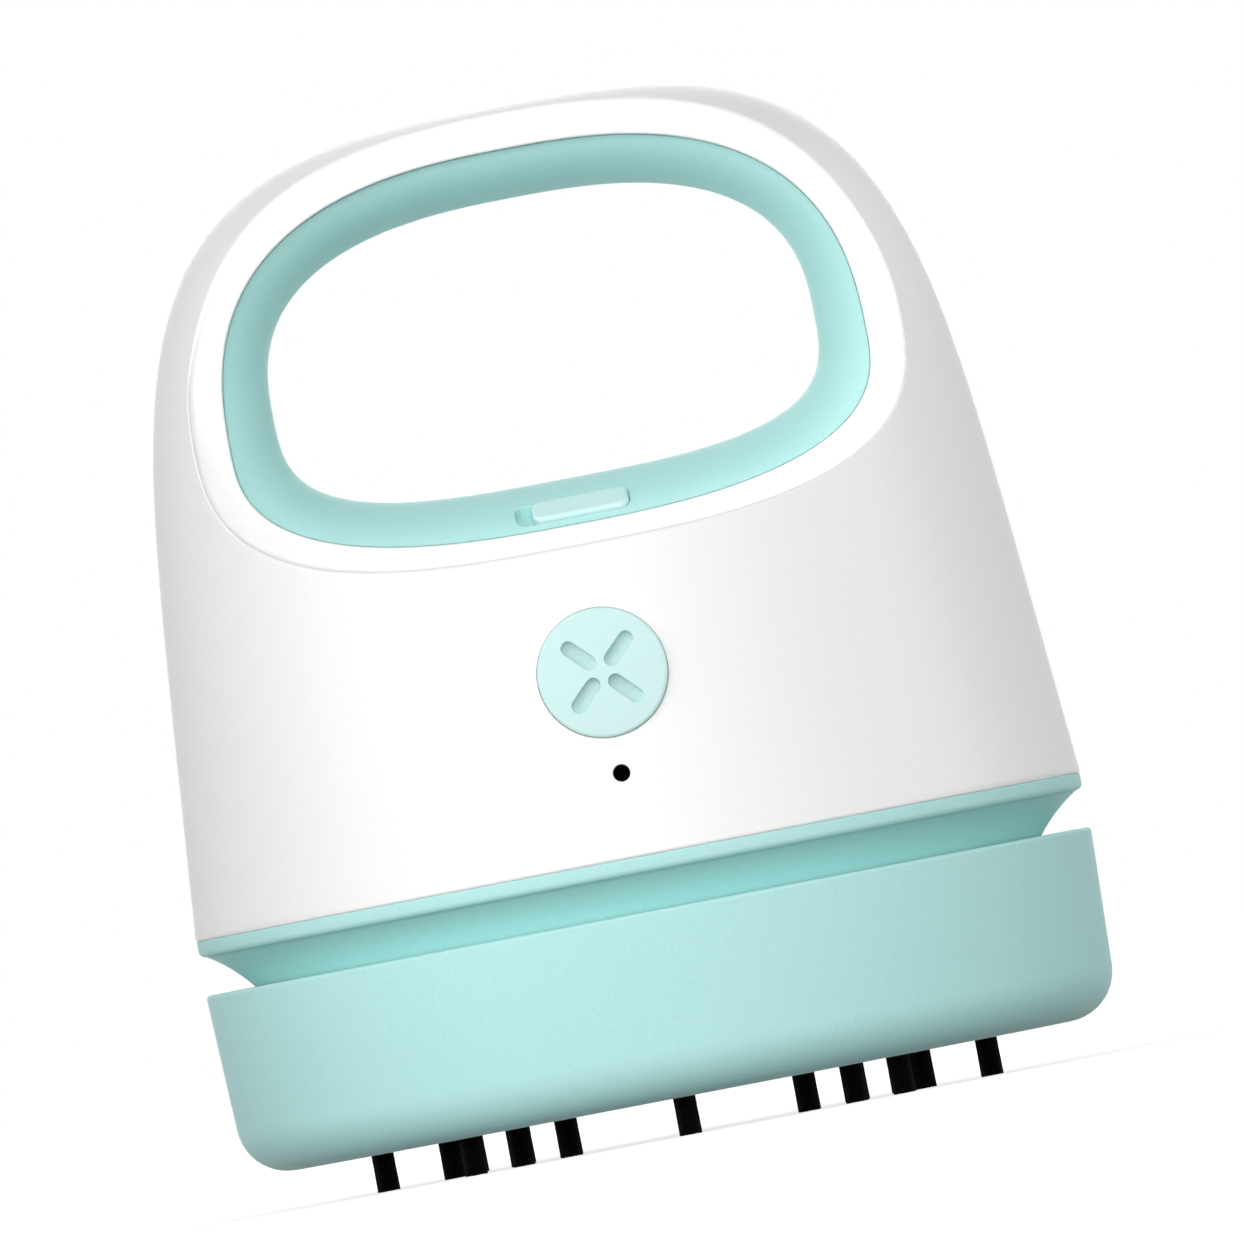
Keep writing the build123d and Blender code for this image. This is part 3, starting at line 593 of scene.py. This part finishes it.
VENT_COUNT = 9
VENT_PITCH = 6.0
VENT_LEVEL = SHELL_BOTTOM + 27.0 * MM
SCREW_X = 38.0 * MM
SCREW_LEVELS = (47.5 * MM, 64.9 * MM)
SCREW_SEAT = 32.362 * MM
SOCKET_LEVEL = 45.85 * MM
HOLE_EDGE = 0.3 * MM
hole_levels = eased_edge(HOLE_EDGE, 4.0 * MM, 0.1 * MM)
rear_cuts, bosses = [], []
for count in range(VENT_COUNT):
    turn = radians(90 + VENT_PITCH * (count - (VENT_COUNT - 1) / 2))
    place = facing((dome_radius(VENT_LEVEL) * cos(turn), dome_radius(VENT_LEVEL) * sin(turn), VENT_LEVEL),
                   (-sin(turn), cos(turn), 0.0), (cos(turn), sin(turn), 0.0))
    rear_cuts.append(stack("vent", bar_outline(1.8 * MM, 10.8 * MM, 0.9 * MM), hole_levels, place,
                           seat_on_dome(place)))
boss_flat, well_outline = circle(3.0 * MM, 48)(0.0), circle(2.3 * MM, 48)
for side in (-1, 1):
    for level in SCREW_LEVELS:
        place = facing((side * SCREW_X, 0.0, level), (-1.0, 0.0, 0.0), (0.0, 1.0, 0.0))
        reach = sqrt(dome_radius(level) ** 2 - SCREW_X**2)
        skin = seat_on_dome(place @ Matrix.Translation((0, 0, reach)))
        bosses.append(capped("boss", [
            at_height(boss_flat, MM), at_height(boss_flat, skin(boss_flat) + reach - 1.2 * MM)], place))
        rings = [at_height(well_outline(0.0), SCREW_SEAT)]
        for offset, height in hole_levels[1:]:
            flat = well_outline(offset)
            rings.append(at_height(flat, skin(flat) + reach + height))
        rear_cuts.append(capped("well", rings, place))
place = facing((0.0, dome_radius(SOCKET_LEVEL), SOCKET_LEVEL), (-1.0, 0.0, 0.0), (0.0, 1.0, 0.0))
rear_cuts.append(stack("window", bar_outline(10.0 * MM, 4.3 * MM, 2.149 * MM, 16), hole_levels, place,
                       seat_on_dome(place)))
rear_mesh = combine(half_shell_mesh("rear_shell", 1), joined("bosses", bosses), "UNION")
rear_mesh = cut_smooth(smooth(rear_mesh), joined("rear_cuts", rear_cuts))
add_piece("rear_shell_moulding", rear_mesh, "main_unit", white_plastic, "rear_shell")

# ---------------------------------------------------------------- handle liner
# A mint sleeve clamped between the two shells, which lines the finger opening. Its section is part of an
# ellipse that flares by the same amount to both faces, with a recess near the front for the slide key.
mint_plastic = moulded_plastic("mint_plastic", (0.485, 0.80, 0.78), 0.5, 0.1, 0.3, 0.03)
LINER_WALL = 1.8 * MM
FLANGE = 3.3 * MM
LINER_BOW = 0.97
GROOVE = 0.2 * MM
GROOVE_DEPTH = 0.16 * MM


def liner_share(depth):
    """Flare from 0 in the middle to 1 at the faces, (1 - sqrt(1 - (b y / h)^2)) / (1 - sqrt(1 - b^2))."""
    return (1 - sqrt(1 - (LINER_BOW * depth / LINER_HALF) ** 2)) / (1 - sqrt(1 - LINER_BOW**2))


def liner_outline(angle, depth, grow=0.0):
    """Outline of the liner at a depth, between that of the throat and that of the mouth."""
    throat, face = np.array(arch(angle, **OPENING, grow=grow)), np.array(arch(angle, **MOUTH, grow=grow))
    return throat + liner_share(depth) * (face - throat)


def liner_reach(rays, depth, grow=0.0):
    """Distance from the ray centre to the liner's outline at a depth."""
    return reach_along(rays, *liner_outline(outline_turn, depth, grow))


liner_rays = np.linspace(0, 2 * pi, 481)[:-1]
mouth_reach = liner_reach(liner_rays, LINER_HALF)
bore_edge = mouth_reach - GROOVE / 2
groove = [(mouth_reach + GROOVE / 2, LINER_HALF), (mouth_reach + GROOVE / 2, LINER_HALF - GROOVE_DEPTH),
          (bore_edge, LINER_HALF - GROOVE_DEPTH)]
rows = [(reach, -depth) for reach, depth in groove]
for depth in LINER_HALF * np.sin(np.linspace(-pi / 2, pi / 2, 57)):
    rows.append((np.minimum(liner_reach(liner_rays, depth), bore_edge), depth))
rows += groove[::-1]
rim_reach = np.minimum(outline_reach(liner_rays, MOUTH, FLANGE),
                       reach_along(liner_rays, *dome_outline(LINER_HALF, SHELL_WALL + 0.2 * MM)))
inner_edge = LINER_HALF - LINER_WALL
rows += [(rim_reach, LINER_HALF), (rim_reach, inner_edge)]
for depth in np.linspace(inner_edge, -inner_edge, 15):
    rows.append((np.minimum(liner_reach(liner_rays, depth, LINER_WALL), rim_reach), depth))
rows += [(rim_reach, -inner_edge), (rim_reach, -LINER_HALF)]
liner_grid = np.stack([
    np.stack([reach * np.cos(liner_rays), np.full(liner_rays.shape, depth),
              RAY_CENTRE + reach * np.sin(liner_rays)], axis=-1) for reach, depth in rows])
liner_mesh = tidy_mesh(grid_mesh("liner", liner_grid, closed_rows=True, closed_columns=True))

KEY_DEPTH = -(HANDLE_HALF - 4.2 * MM)
RECESS_DEPTH = 1.2 * MM
nudge = 0.01 * MM
key_slope = FLARE * (liner_share(KEY_DEPTH - nudge) - liner_share(KEY_DEPTH + nudge)) / (2 * nudge)
KEY_PLACE = facing((0.2 * MM, KEY_DEPTH, OPENING_BOTTOM - FLARE * liner_share(KEY_DEPTH)),
                   (1.0, 0.0, 0.0), (0.0, -key_slope, 1.0))
lower_turn = np.linspace(-pi + 0.3, -0.3, 400)


def liner_ground(flat):
    """Height of the liner's lower surface over the plane of the recess, found by stepping closer."""
    height = np.zeros(len(flat))
    for _ in range(8):
        x, y, z = placed(KEY_PLACE, flat, height)
        surface = [np.interp(across, *liner_outline(lower_turn, depth)) for across, depth in zip(x, y)]
        height = height + (np.array(surface) - z)
    return height


recess = stack("recess", bar_outline(14.1 * MM, 4.04 * MM, 1.27 * MM),
               eased_edge(0.15 * MM, RECESS_DEPTH, 0.1 * MM), KEY_PLACE, liner_ground)
liner_mesh = cut_smooth(smooth(liner_mesh), recess)
add_piece("handle_liner_sleeve", liner_mesh, "main_unit", mint_plastic, "handle_liner")

# ---------------------------------------------------------------- power slide key
# A paler mint moulding that slides two millimetres to the left in the recess of the liner. It is a low bar
# with rounded corners and a soft top edge.
pale_mint = moulded_plastic("pale_mint_plastic", (0.62, 0.85, 0.835), 0.5, 0.1)
KEY_TOP = 0.45 * MM
KEY_ROUND = 0.5 * MM


def shoulder(radius, top, count=9):
    """Levels of a quarter round up to a top: offset -r (1 - cos a), height top - r (1 - sin a)."""
    return [(-radius * (1 - cos(turn)), top - radius * (1 - sin(turn)))
            for turn in np.linspace(0, pi / 2, count)]


key_levels = [(-0.1 * MM, -RECESS_DEPTH + 0.15 * MM), (0.0, -RECESS_DEPTH + 0.25 * MM),
              *shoulder(KEY_ROUND, KEY_TOP), (-0.6 * MM, KEY_TOP)]
key_mesh = stack("slide_key", bar_outline(12.0 * MM, 3.9 * MM, 1.2 * MM), key_levels,
                 KEY_PLACE @ Matrix.Translation((1.0 * MM, 0.0, 0.0)))
add_piece("slide_key", smooth(key_mesh, 50), "power_slide", pale_mint, "power_slide")

# ---------------------------------------------------------------- front button and indicator lens
# The button is a pale mint cap with a crowned face and four sunk slots with stippled floors, in a bore that
# its flange holds it in. The slot floors are painted a darker, greyer mint as shade of the recesses, over a
# real stipple. The black dot under it is the end of a light guide.
CROWN = 60.0 * MM
PROUD = 0.5 * MM
RIM = 0.45 * MM
CAP_FOOT = -6.5 * MM
SLOT_SPOT = 3.495 * MM
SLOT_DEPTH = 1.4 * MM
SLOT_ROUND = 0.2 * MM


def crown_height(radius):
    """Height of the crowned face, part of a sphere: proud + sqrt(C^2 - r^2) - sqrt(C^2 - R^2)."""
    return PROUD + sqrt(CROWN**2 - radius**2) - sqrt(CROWN**2 - BUTTON_RADIUS**2)


face_levels = [(radius - BUTTON_RADIUS, crown_height(radius)) for radius in
               np.linspace(BUTTON_RADIUS - RIM, 0.05 * MM, 24)[1:]]
cap_levels = [(0.0, CAP_FOOT), *shoulder(RIM, crown_height(BUTTON_RADIUS - RIM)), *face_levels]
cap_mesh = stack("front_button", circle(BUTTON_RADIUS, 128), cap_levels)
slot_levels = [(-SLOT_ROUND + SLOT_ROUND * sin(turn), -SLOT_DEPTH + SLOT_ROUND * (1 - cos(turn)))
               for turn in np.linspace(0, pi / 2, 5)] + eased_edge(0.15 * MM, 0.0, 0.05 * MM)[1:]
slots = []
for quarter in range(4):
    turn = Matrix.Rotation(radians(45 + 90 * quarter), 4, "Z")
    spot = turn @ Matrix.Translation((SLOT_SPOT, 0.0, crown_height(SLOT_SPOT)))
    spot = spot @ Matrix.Rotation(SLOT_SPOT / CROWN, 4, "Y")
    slots.append(stack("slot", bar_outline(4.84 * MM, 1.77 * MM, 0.884 * MM, 16), slot_levels, spot))
cap_mesh = cut_smooth(smooth(cap_mesh, 50), joined("slots", slots), 50)
slot_floors = [polygon.index for polygon in cap_mesh.polygons if polygon.normal.z > 0.7
               and polygon.center.z < crown_height(np.hypot(*polygon.center[:2])) - MM]
cap_mesh.transform(BUTTON_PLACE)
add_piece("button_cap", cap_mesh, "front_button", pale_mint, "front_button")
# The slot floors get a darker, greyer copy of the mint: painted shade inside the recesses. Its coarse grain
# and mottle are the real stipple.
cap_mesh.materials.append(moulded_plastic("stippled_mint_with_painted_slot_shade", (0.54, 0.71, 0.70), 0.6, 0.1, 0.9, 0.06))
for index in slot_floors:
    cap_mesh.polygons[index].material_index = 1

black_gloss = new_finish("black_lens", {"Base Color": (0.001, 0.001, 0.001, 1.0), "Roughness": 0.35,
                                        "Specular IOR Level": 0.0})[0]
LENS_FOOT, LENS_TOP = -3.0 * MM, -0.1 * MM
lens_levels = [(0.0, LENS_FOOT), *shoulder(0.15 * MM, LENS_TOP, 5)]
lens_mesh = stack("lens", circle(LENS_RADIUS, 48), lens_levels, LENS_PLACE)
add_piece("indicator_dot", smooth(lens_mesh, 50), "main_unit", black_gloss, "indicator_lens")

# ---------------------------------------------------------------- waist ring
# The mint ring that carries the shells on its lip and plugs into the dust cup with its spigot. The neck
# between the two is one hollow curve, and four bosses on the web take the screws of the motor plate.
# The corners of the profiles are (radius, level, rounding) in millimetres, as are these sizes.
CUP_TOP = 27.6
WEB_FOOT = 26.1
SPIGOT_FOOT = 17.6
NECK_TOP = 32.3
UPSTAND_TOP = 38.4
LIP_RADIUS, LIP_FOOT, LIP_TOP, LIP_ROUND = 54.9, 33.1, 34.3, 0.8
BOSS_RADIUS, BOSS_BORE = 3.0, 1.15


def rounded_path(corners, steps=8):
    """Closed path of (radius, level) in metres through corners, each rounded by an arc in equal steps.

    The arc runs from its start s to its end e about a centre, as (sin((1 - k) a) s + sin(k a) e) / sin(a).
    """
    path = []
    corners = MM * np.array(corners)
    for index, (r, z, rounding) in enumerate(corners):
        here = np.array([r, z])
        if rounding == 0:
            path.append(here)
            continue
        before = corners[index - 1][:2] - here
        after = corners[(index + 1) % len(corners)][:2] - here
        before, after = before / np.linalg.norm(before), after / np.linalg.norm(after)
        half = np.arccos(np.clip(before @ after, -1, 1)) / 2
        centre = here + (before + after) / np.linalg.norm(before + after) * rounding / sin(half)
        start = here + before * rounding / np.tan(half) - centre
        end = here + after * rounding / np.tan(half) - centre
        swing = pi - 2 * half
        for share in np.linspace(0, 1, steps):
            mix = (np.sin((1 - share) * swing) * start + np.sin(share * swing) * end) / sin(swing)
            path.append(centre + mix)
    return np.array(path)


def arc_through(start, middle, end, count):
    """Arc through three points; its centre c has 2 (c - start).(p - start) = |p - start|^2 for the others."""
    chord_a, chord_b = middle - start, end - start
    cross = 2 * (chord_a[0] * chord_b[1] - chord_a[1] * chord_b[0])
    size_a, size_b = chord_a @ chord_a, chord_b @ chord_b
    centre = start + np.array([chord_b[1] * size_a - chord_a[1] * size_b,
                               chord_a[0] * size_b - chord_b[0] * size_a]) / cross
    first, last = (np.arctan2(*(point - centre)[::-1]) for point in (start, end))
    turn = np.linspace(first, first + (last - first + pi) % (2 * pi) - pi, count)
    return centre + np.linalg.norm(start - centre) * np.stack([np.cos(turn), np.sin(turn)], axis=1)


def revolved(name, path, segments=256, place=Matrix.Identity(4)):
    """Closed mesh of a closed path of (radius, level) turned about the axis of a place."""
    turn = np.linspace(0, 2 * pi, segments, endpoint=False)[:, None]
    radius, level = path[None, :, 0], path[None, :, 1]
    points = np.stack([radius * np.cos(turn), radius * np.sin(turn), level + 0 * turn], axis=-1)
    mesh = tidy_mesh(grid_mesh(name, points, closed_rows=True, closed_columns=True))
    mesh.transform(place)
    return mesh


def with_bosses(mesh, reach, angle, foot, top):
    """Adds four bored screw bosses to a moulding, at a reach from its axis; the first is at an angle."""
    path = rounded_path([(BOSS_BORE, foot, 0.0), (BOSS_RADIUS, foot, 0.0), (BOSS_RADIUS, top, 0.35),
                         (BOSS_BORE, top, 0.2)])
    for turn in radians(angle) + np.radians([0, 90, 180, 270]):
        spot = MM * reach * Vector((cos(turn), sin(turn), 0.0))
        mesh = combine(mesh, revolved("screw_boss", path, 64, Matrix.Translation(spot)), "UNION")
    return tidy_mesh(mesh)


neck_path = arc_through(*MM * np.array([(48.85, CUP_TOP), (50.6, 29.57), (54.1, NECK_TOP)]), 17)
inside_path = rounded_path([
    (48.7, 27.4, 0.1), (48.7, SPIGOT_FOOT, 0.4), (45.7, SPIGOT_FOOT, 0.4), (45.7, WEB_FOOT, 0.1),
    (14.0, WEB_FOOT, 0.3), (14.0, CUP_TOP, 0.3), (46.2, CUP_TOP, 0.5), (50.8, NECK_TOP, 1.0),
    (50.8, UPSTAND_TOP, 0.3), (52.5, UPSTAND_TOP, 0.3), (52.5, LIP_TOP, 0.1), (LIP_RADIUS, LIP_TOP, 0.15),
    (LIP_RADIUS, LIP_FOOT, 0.0)])
lip_turn = np.linspace(-pi / 2, 0, 9)[:-1]
lip_path = MM * (np.array([LIP_RADIUS - LIP_ROUND, LIP_FOOT])
                 + LIP_ROUND * np.stack([np.cos(lip_turn), np.sin(lip_turn)], axis=1))
ring_mesh = revolved("waist_ring", np.concatenate([neck_path[:-1], lip_path, inside_path[::-1]]))
ring_mesh = with_bosses(ring_mesh, reach=43.0, angle=45.0, foot=26.8, top=38.5)
add_piece("waist_ring_moulding", smooth(ring_mesh, 40), "main_unit", mint_plastic, "waist_ring")

# ---------------------------------------------------------------- dust cup
# The mint cup that holds the dust, with a rolled bottom corner, a collar for the seal, the inlet chimney in
# the middle of its floor, and four bosses that take the screws of the brush plate.
CUP_BOTTOM = 4.7
CUP_FLOOR = 7.2
DUST_FLOOR = 9.2
CHIMNEY_TOP = 15.5
COLLAR_FOOT = 19.4
POCKET_TOP = 25.8
cup_path = rounded_path([
    (54.15, CUP_BOTTOM, 6.2), (55.0, CUP_TOP, 0.5), (49.0, CUP_TOP, 0.35), (49.0, COLLAR_FOOT, 0.3),
    (50.8, COLLAR_FOOT, 0.3), (50.8, POCKET_TOP, 0.3), (52.8, POCKET_TOP, 0.3), (52.0, DUST_FLOOR, 3.5),
    (13.0, DUST_FLOOR, 0.5), (13.0, CHIMNEY_TOP, 0.5), (11.0, CHIMNEY_TOP, 0.5), (11.0, CUP_FLOOR, 0.1),
    (45.15, CUP_FLOOR, 0.1), (45.15, CUP_BOTTOM, 0.2)], steps=12)
cup_mesh = with_bosses(revolved("dust_cup", cup_path), reach=33.0, angle=22.5, foot=8.2, top=13.2)
add_piece("dust_cup_moulding", smooth(cup_mesh, 40), "dust_cup", mint_plastic, "dust_cup")

# ---------------------------------------------------------------- brush tufts
# Three rings of eight bundles of black nylon bristles, stapled into the brush plate. The bristles of a
# bundle stand close together and spread a little towards their tips. Each is a thin six-sided rod.
nylon = new_finish("black_nylon", {"Base Color": (0.0015, 0.0015, 0.0018, 1.0), "Roughness": 0.55,
                                   "Specular IOR Level": 0.04})[0]
TUFT_RINGS = (20.9 * MM, 29.2 * MM, 37.5 * MM)
TUFT_SPOKES = 8
TUFT_RADIUS = 1.4 * MM
TUFT_TOP = 5.5 * MM
BRISTLE = 0.11 * MM
BRISTLE_PITCH = 0.225 * MM
BRISTLE_RINGS = np.linspace(0.215, 1.29, 6) * MM
ROOT_SQUEEZE = 0.97
TIP_LEAN = 0.03 * MM
TIP_UNEVEN = 0.08 * MM
TIP_CHAMFER = 0.05 * MM
TIP_SIZE = 0.6
SIDES = 6
shake = np.random.default_rng(7)
lattice = [(0.0, 0.0)]
for ring_radius in BRISTLE_RINGS:
    spread = np.linspace(0, 2 * pi, int(2 * pi * ring_radius / BRISTLE_PITCH), endpoint=False)
    lattice += [(ring_radius * cos(turn), ring_radius * sin(turn)) for turn in spread]
lattice = np.array(lattice)
side_turn = np.linspace(0, 2 * pi, SIDES, endpoint=False)
side_ring = BRISTLE * np.stack([np.cos(side_turn), np.sin(side_turn)], axis=1)
rods = []
for ring_radius in TUFT_RINGS:
    for spoke in range(TUFT_SPOKES):
        centre = ring_radius * np.array([cos(spoke * pi / 4), sin(spoke * pi / 4)])
        turn = shake.uniform(0, pi)
        spun = lattice @ np.array([[cos(turn), sin(turn)], [-sin(turn), cos(turn)]])
        draws = [(*shake.normal(0, TIP_LEAN, 2), shake.uniform(0.0, TIP_UNEVEN)) for _ in spun]
        lean, foot = np.array(draws)[:, :2], np.array(draws)[:, 2]
        tip = spun + lean
        spill = (TUFT_RADIUS - BRISTLE) / np.maximum(np.hypot(*tip.T), 1e-9)
        tip = tip * np.minimum(1.0, spill)[:, None]
        for where, level, size in ((spun * ROOT_SQUEEZE, TUFT_TOP + 0 * foot, 1.0),
                                   (tip, foot + TIP_CHAMFER, 1.0), (tip, foot, TIP_SIZE)):
            flat = (centre + where)[:, None] + side_ring * size
            rods.append(np.dstack([flat, np.repeat(level[:, None], SIDES, axis=1)]))
rods = np.array(rods).reshape(-1, 3, len(lattice), SIDES, 3).swapaxes(1, 2).reshape(-1, 3 * SIDES, 3)
first_point = 3 * SIDES * np.arange(len(rods))[:, None]
side, over = np.arange(SIDES), (np.arange(SIDES) + 1) % SIDES
walls = [np.stack([side, over, over + SIDES, side + SIDES], axis=1) + SIDES * row for row in range(2)]
walls = first_point[:, :, None] + np.concatenate(walls)
ends = [first_point + side[::-1], first_point + 2 * SIDES + side]
tuft_mesh = bpy.data.meshes.new("brush_tufts")
faces = [*walls.reshape(-1, 4).tolist(), *np.concatenate(ends).tolist()]
tuft_mesh.from_pydata(rods.reshape(-1, 3), [], faces)
tidy_mesh(tuft_mesh, 1e-9)
add_piece("brush_bristles", smooth(tuft_mesh, 40), "dust_cup", nylon, "brush_tufts")

# ---------------------------------------------------------------- underside
# The brush plate is a mint disc pressed into the cup's floor, with the suction inlet in its middle. Four
# zinc-plated cross-head screws hold it, and the same screws join the shells and carry the motor inside.


def dress(finish, *nodes):
    """Gives carried-over nodes a finish, on whatever material slots they have."""
    for node in nodes:
        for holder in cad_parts[node].material_slots:
            holder.material = finish


def plated_metal(name, colour, roughness, stretch=(1.0, 1.0, 0.05), scale=900.0):
    """Plated metal with fine drawn lines in its bump and gloss, and slow stains of a darker tone."""
    finish, tree, shader = new_finish(name, {"Metallic": 1.0})
    place = add_node(tree, "TexCoord")
    drawn = add_node(tree, "Mapping", {"Scale": stretch})
    lines = add_node(tree, "TexNoise", {"Scale": scale, "Detail": 3.0})
    stains = add_node(tree, "TexNoise", {"Scale": 90.0})
    tone = tone_ramp(tree, (0.3, 0.6), ([channel * 0.82 for channel in colour], colour))
    gloss = add_node(tree, "MapRange", {"To Min": roughness - 0.08, "To Max": roughness + 0.08})
    bump = add_node(tree, "Bump", {"Strength": 0.25, "Distance": 0.01 * MM})
    wire(tree, (place, "Object", drawn, "Vector"), (drawn, 0, lines, "Vector"),
         (place, "Object", stains, "Vector"), (stains, "Fac", tone, "Fac"),
         (tone, "Color", shader, "Base Color"), (lines, "Fac", gloss, "Value"),
         (gloss, 0, shader, "Roughness"), (lines, "Fac", bump, "Height"), (bump, 0, shader, "Normal"))
    return finish


zinc_steel = plated_metal("zinc_steel", (0.33, 0.335, 0.35), 0.42)
dress(mint_plastic, "brush_plate")
dress(zinc_steel, "base_screws", "housing_screws", "plate_screws", "motor_screws")

# ---------------------------------------------------------------- filter and seal
# A white felt disc in a white plastic frame closes the spigot, and a black rubber ring seals the spigot
# against the cup. The felt is needle-punched: soft at its edge, a little uneven, with short loose fibres.
FELT_LOW, FELT_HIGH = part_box("filter_pad")
FELT_HALF = (FELT_HIGH.x - FELT_LOW.x) / 2
FELT_THICK = FELT_HIGH.z - FELT_LOW.z
FELT_EDGE = 1.2 * MM
felt_turn = np.linspace(0, 2 * pi, 192, endpoint=False)[:, None]
felt_curl = np.linspace(0, pi / 2, 9)[1:]
felt_flat = np.linspace(0, FELT_HALF - FELT_EDGE, 60)[1:]
felt_rows = np.concatenate([felt_flat, FELT_HALF - FELT_EDGE + FELT_EDGE * np.sin(felt_curl)])
felt_drop = np.concatenate([0 * felt_flat, FELT_EDGE * (1 - np.cos(felt_curl))])


def felt_face(side, seed):
    """Grid of one face: flat, less a quarter round at the edge, less hollows of two waves of seeded phase."""
    phase = np.random.default_rng(seed).uniform(0, 2 * pi, 6)
    x, y = felt_rows * np.cos(felt_turn), felt_rows * np.sin(felt_turn)
    long_wave = np.sin(x / (3.1 * MM) + phase[0]) * np.sin(y / (3.7 * MM) + phase[1])
    short_wave = np.sin(x / (1.3 * MM) + y / (1.9 * MM) + phase[2]) * np.sin(y / (1.1 * MM) + phase[3])
    fade = np.clip((FELT_HALF - felt_rows) / (2 * MM), 0, 1)
    hollow = 0.09 * MM * (1.6 + long_wave + 0.6 * short_wave) * fade
    z = (FELT_LOW.z + FELT_HIGH.z) / 2 + side * (FELT_THICK / 2 - felt_drop - hollow)
    return np.stack([x, y, z], axis=-1)


felt_top, felt_under = felt_face(1, 3), felt_face(-1, 4)
poles = [np.broadcast_to(face[:, :1].mean(axis=0), face[:, :1].shape) for face in (felt_top, felt_under)]
felt_grid = np.concatenate([poles[0], felt_top, felt_under[:, ::-1], poles[1]], axis=1)
felt_mesh = tidy_mesh(grid_mesh("filter_felt", felt_grid, closed_rows=True))
white_felt, tree, shader = new_finish("white_felt", {"Roughness": 0.95, "Specular IOR Level": 0.1,
                                                     "Sheen Weight": 0.4})
place = add_node(tree, "TexCoord")
fibres = add_node(tree, "TexNoise", {"Scale": 1400.0, "Detail": 6.0, "Distortion": 2.5})
clumps = add_node(tree, "TexVoronoi", {"Scale": 420.0})
felt_tone = tone_ramp(tree, (0.3, 0.65), ((0.62, 0.61, 0.58), (0.86, 0.855, 0.83)))
relief = add_node(tree, "Math", operation="ADD")
bump = add_node(tree, "Bump", {"Strength": 0.9, "Distance": 0.12 * MM})
wire(tree, (place, "Object", fibres, "Vector"), (place, "Object", clumps, "Vector"),
     (fibres, "Fac", felt_tone, "Fac"), (felt_tone, "Color", shader, "Base Color"),
     (fibres, "Fac", relief, 0), (clumps, "Distance", relief, 1), (relief, 0, bump, "Height"),
     (bump, 0, shader, "Normal"))
felt_disc = add_piece("filter_felt_disc", smooth(felt_mesh, 50), "main_unit", white_felt,
                      "filter_pad")
seal_rubber = moulded_plastic("seal_rubber", (0.03, 0.03, 0.031), 0.62, 0.4, 0.3, 0.12)
dress(white_plastic, "filter_frame")
dress(seal_rubber, "cup_seal")

# ---------------------------------------------------------------- fan and motor
# A white fan with back-swept blades on a steel shaft, driven by a small brushed motor in a drawn steel can
# with a black end cap. The white motor plate carries both, between the dust space and the electronics.
motor_steel = plated_metal("motor_steel", (0.66, 0.66, 0.65), 0.34, (1.0, 1.0, 0.03), 1400.0)
black_plastic = moulded_plastic("black_plastic", (0.02, 0.02, 0.021), 0.42, 0.5, 0.3, 0.1)
dress(white_plastic, "impeller", "motor_plate")
dress(motor_steel, "motor_can", "motor_shaft")
dress(black_plastic, "motor_end_cap")

# ---------------------------------------------------------------- battery and electronics
# A lithium cell in a blue shrink sleeve under a black clamp, two green circuit boards, the slide switch, the
# push switch with its plunger, the lamp behind the light guide, and the steel charging socket at the back.
cell_sleeve = moulded_plastic("cell_sleeve", (0.02, 0.10, 0.32), 0.25, 0.5, 0.1, 0.06)
lamp_resin = moulded_plastic("lamp_resin", (0.80, 0.79, 0.70), 0.18, 0.5, 0.1, 0.03)
circuit_board, tree, shader = new_finish("circuit_board", {"Roughness": 0.28})
place = add_node(tree, "TexCoord")
tracks = add_node(tree, "TexVoronoi", {"Scale": 450.0}, feature="DISTANCE_TO_EDGE")
mask = tone_ramp(tree, (0.0, 0.09), ((0.02, 0.16, 0.06), (0.01, 0.09, 0.035)))
mask.color_ramp.interpolation = "CONSTANT"
raised = add_node(tree, "Bump", {"Strength": 0.3, "Distance": 0.03 * MM})
wire(tree, (place, "Object", tracks, "Vector"), (tracks, "Distance", mask, "Fac"),
     (mask, "Color", shader, "Base Color"), (mask, "Color", raised, "Height"), (raised, 0, shader, "Normal"))
dress(cell_sleeve, "battery_cell")
dress(circuit_board, "control_board", "charge_board")
dress(black_plastic, "battery_clamp", "slide_switch", "tact_switch", "switch_plunger")
dress(lamp_resin, "status_led")
dress(zinc_steel, "charge_socket")
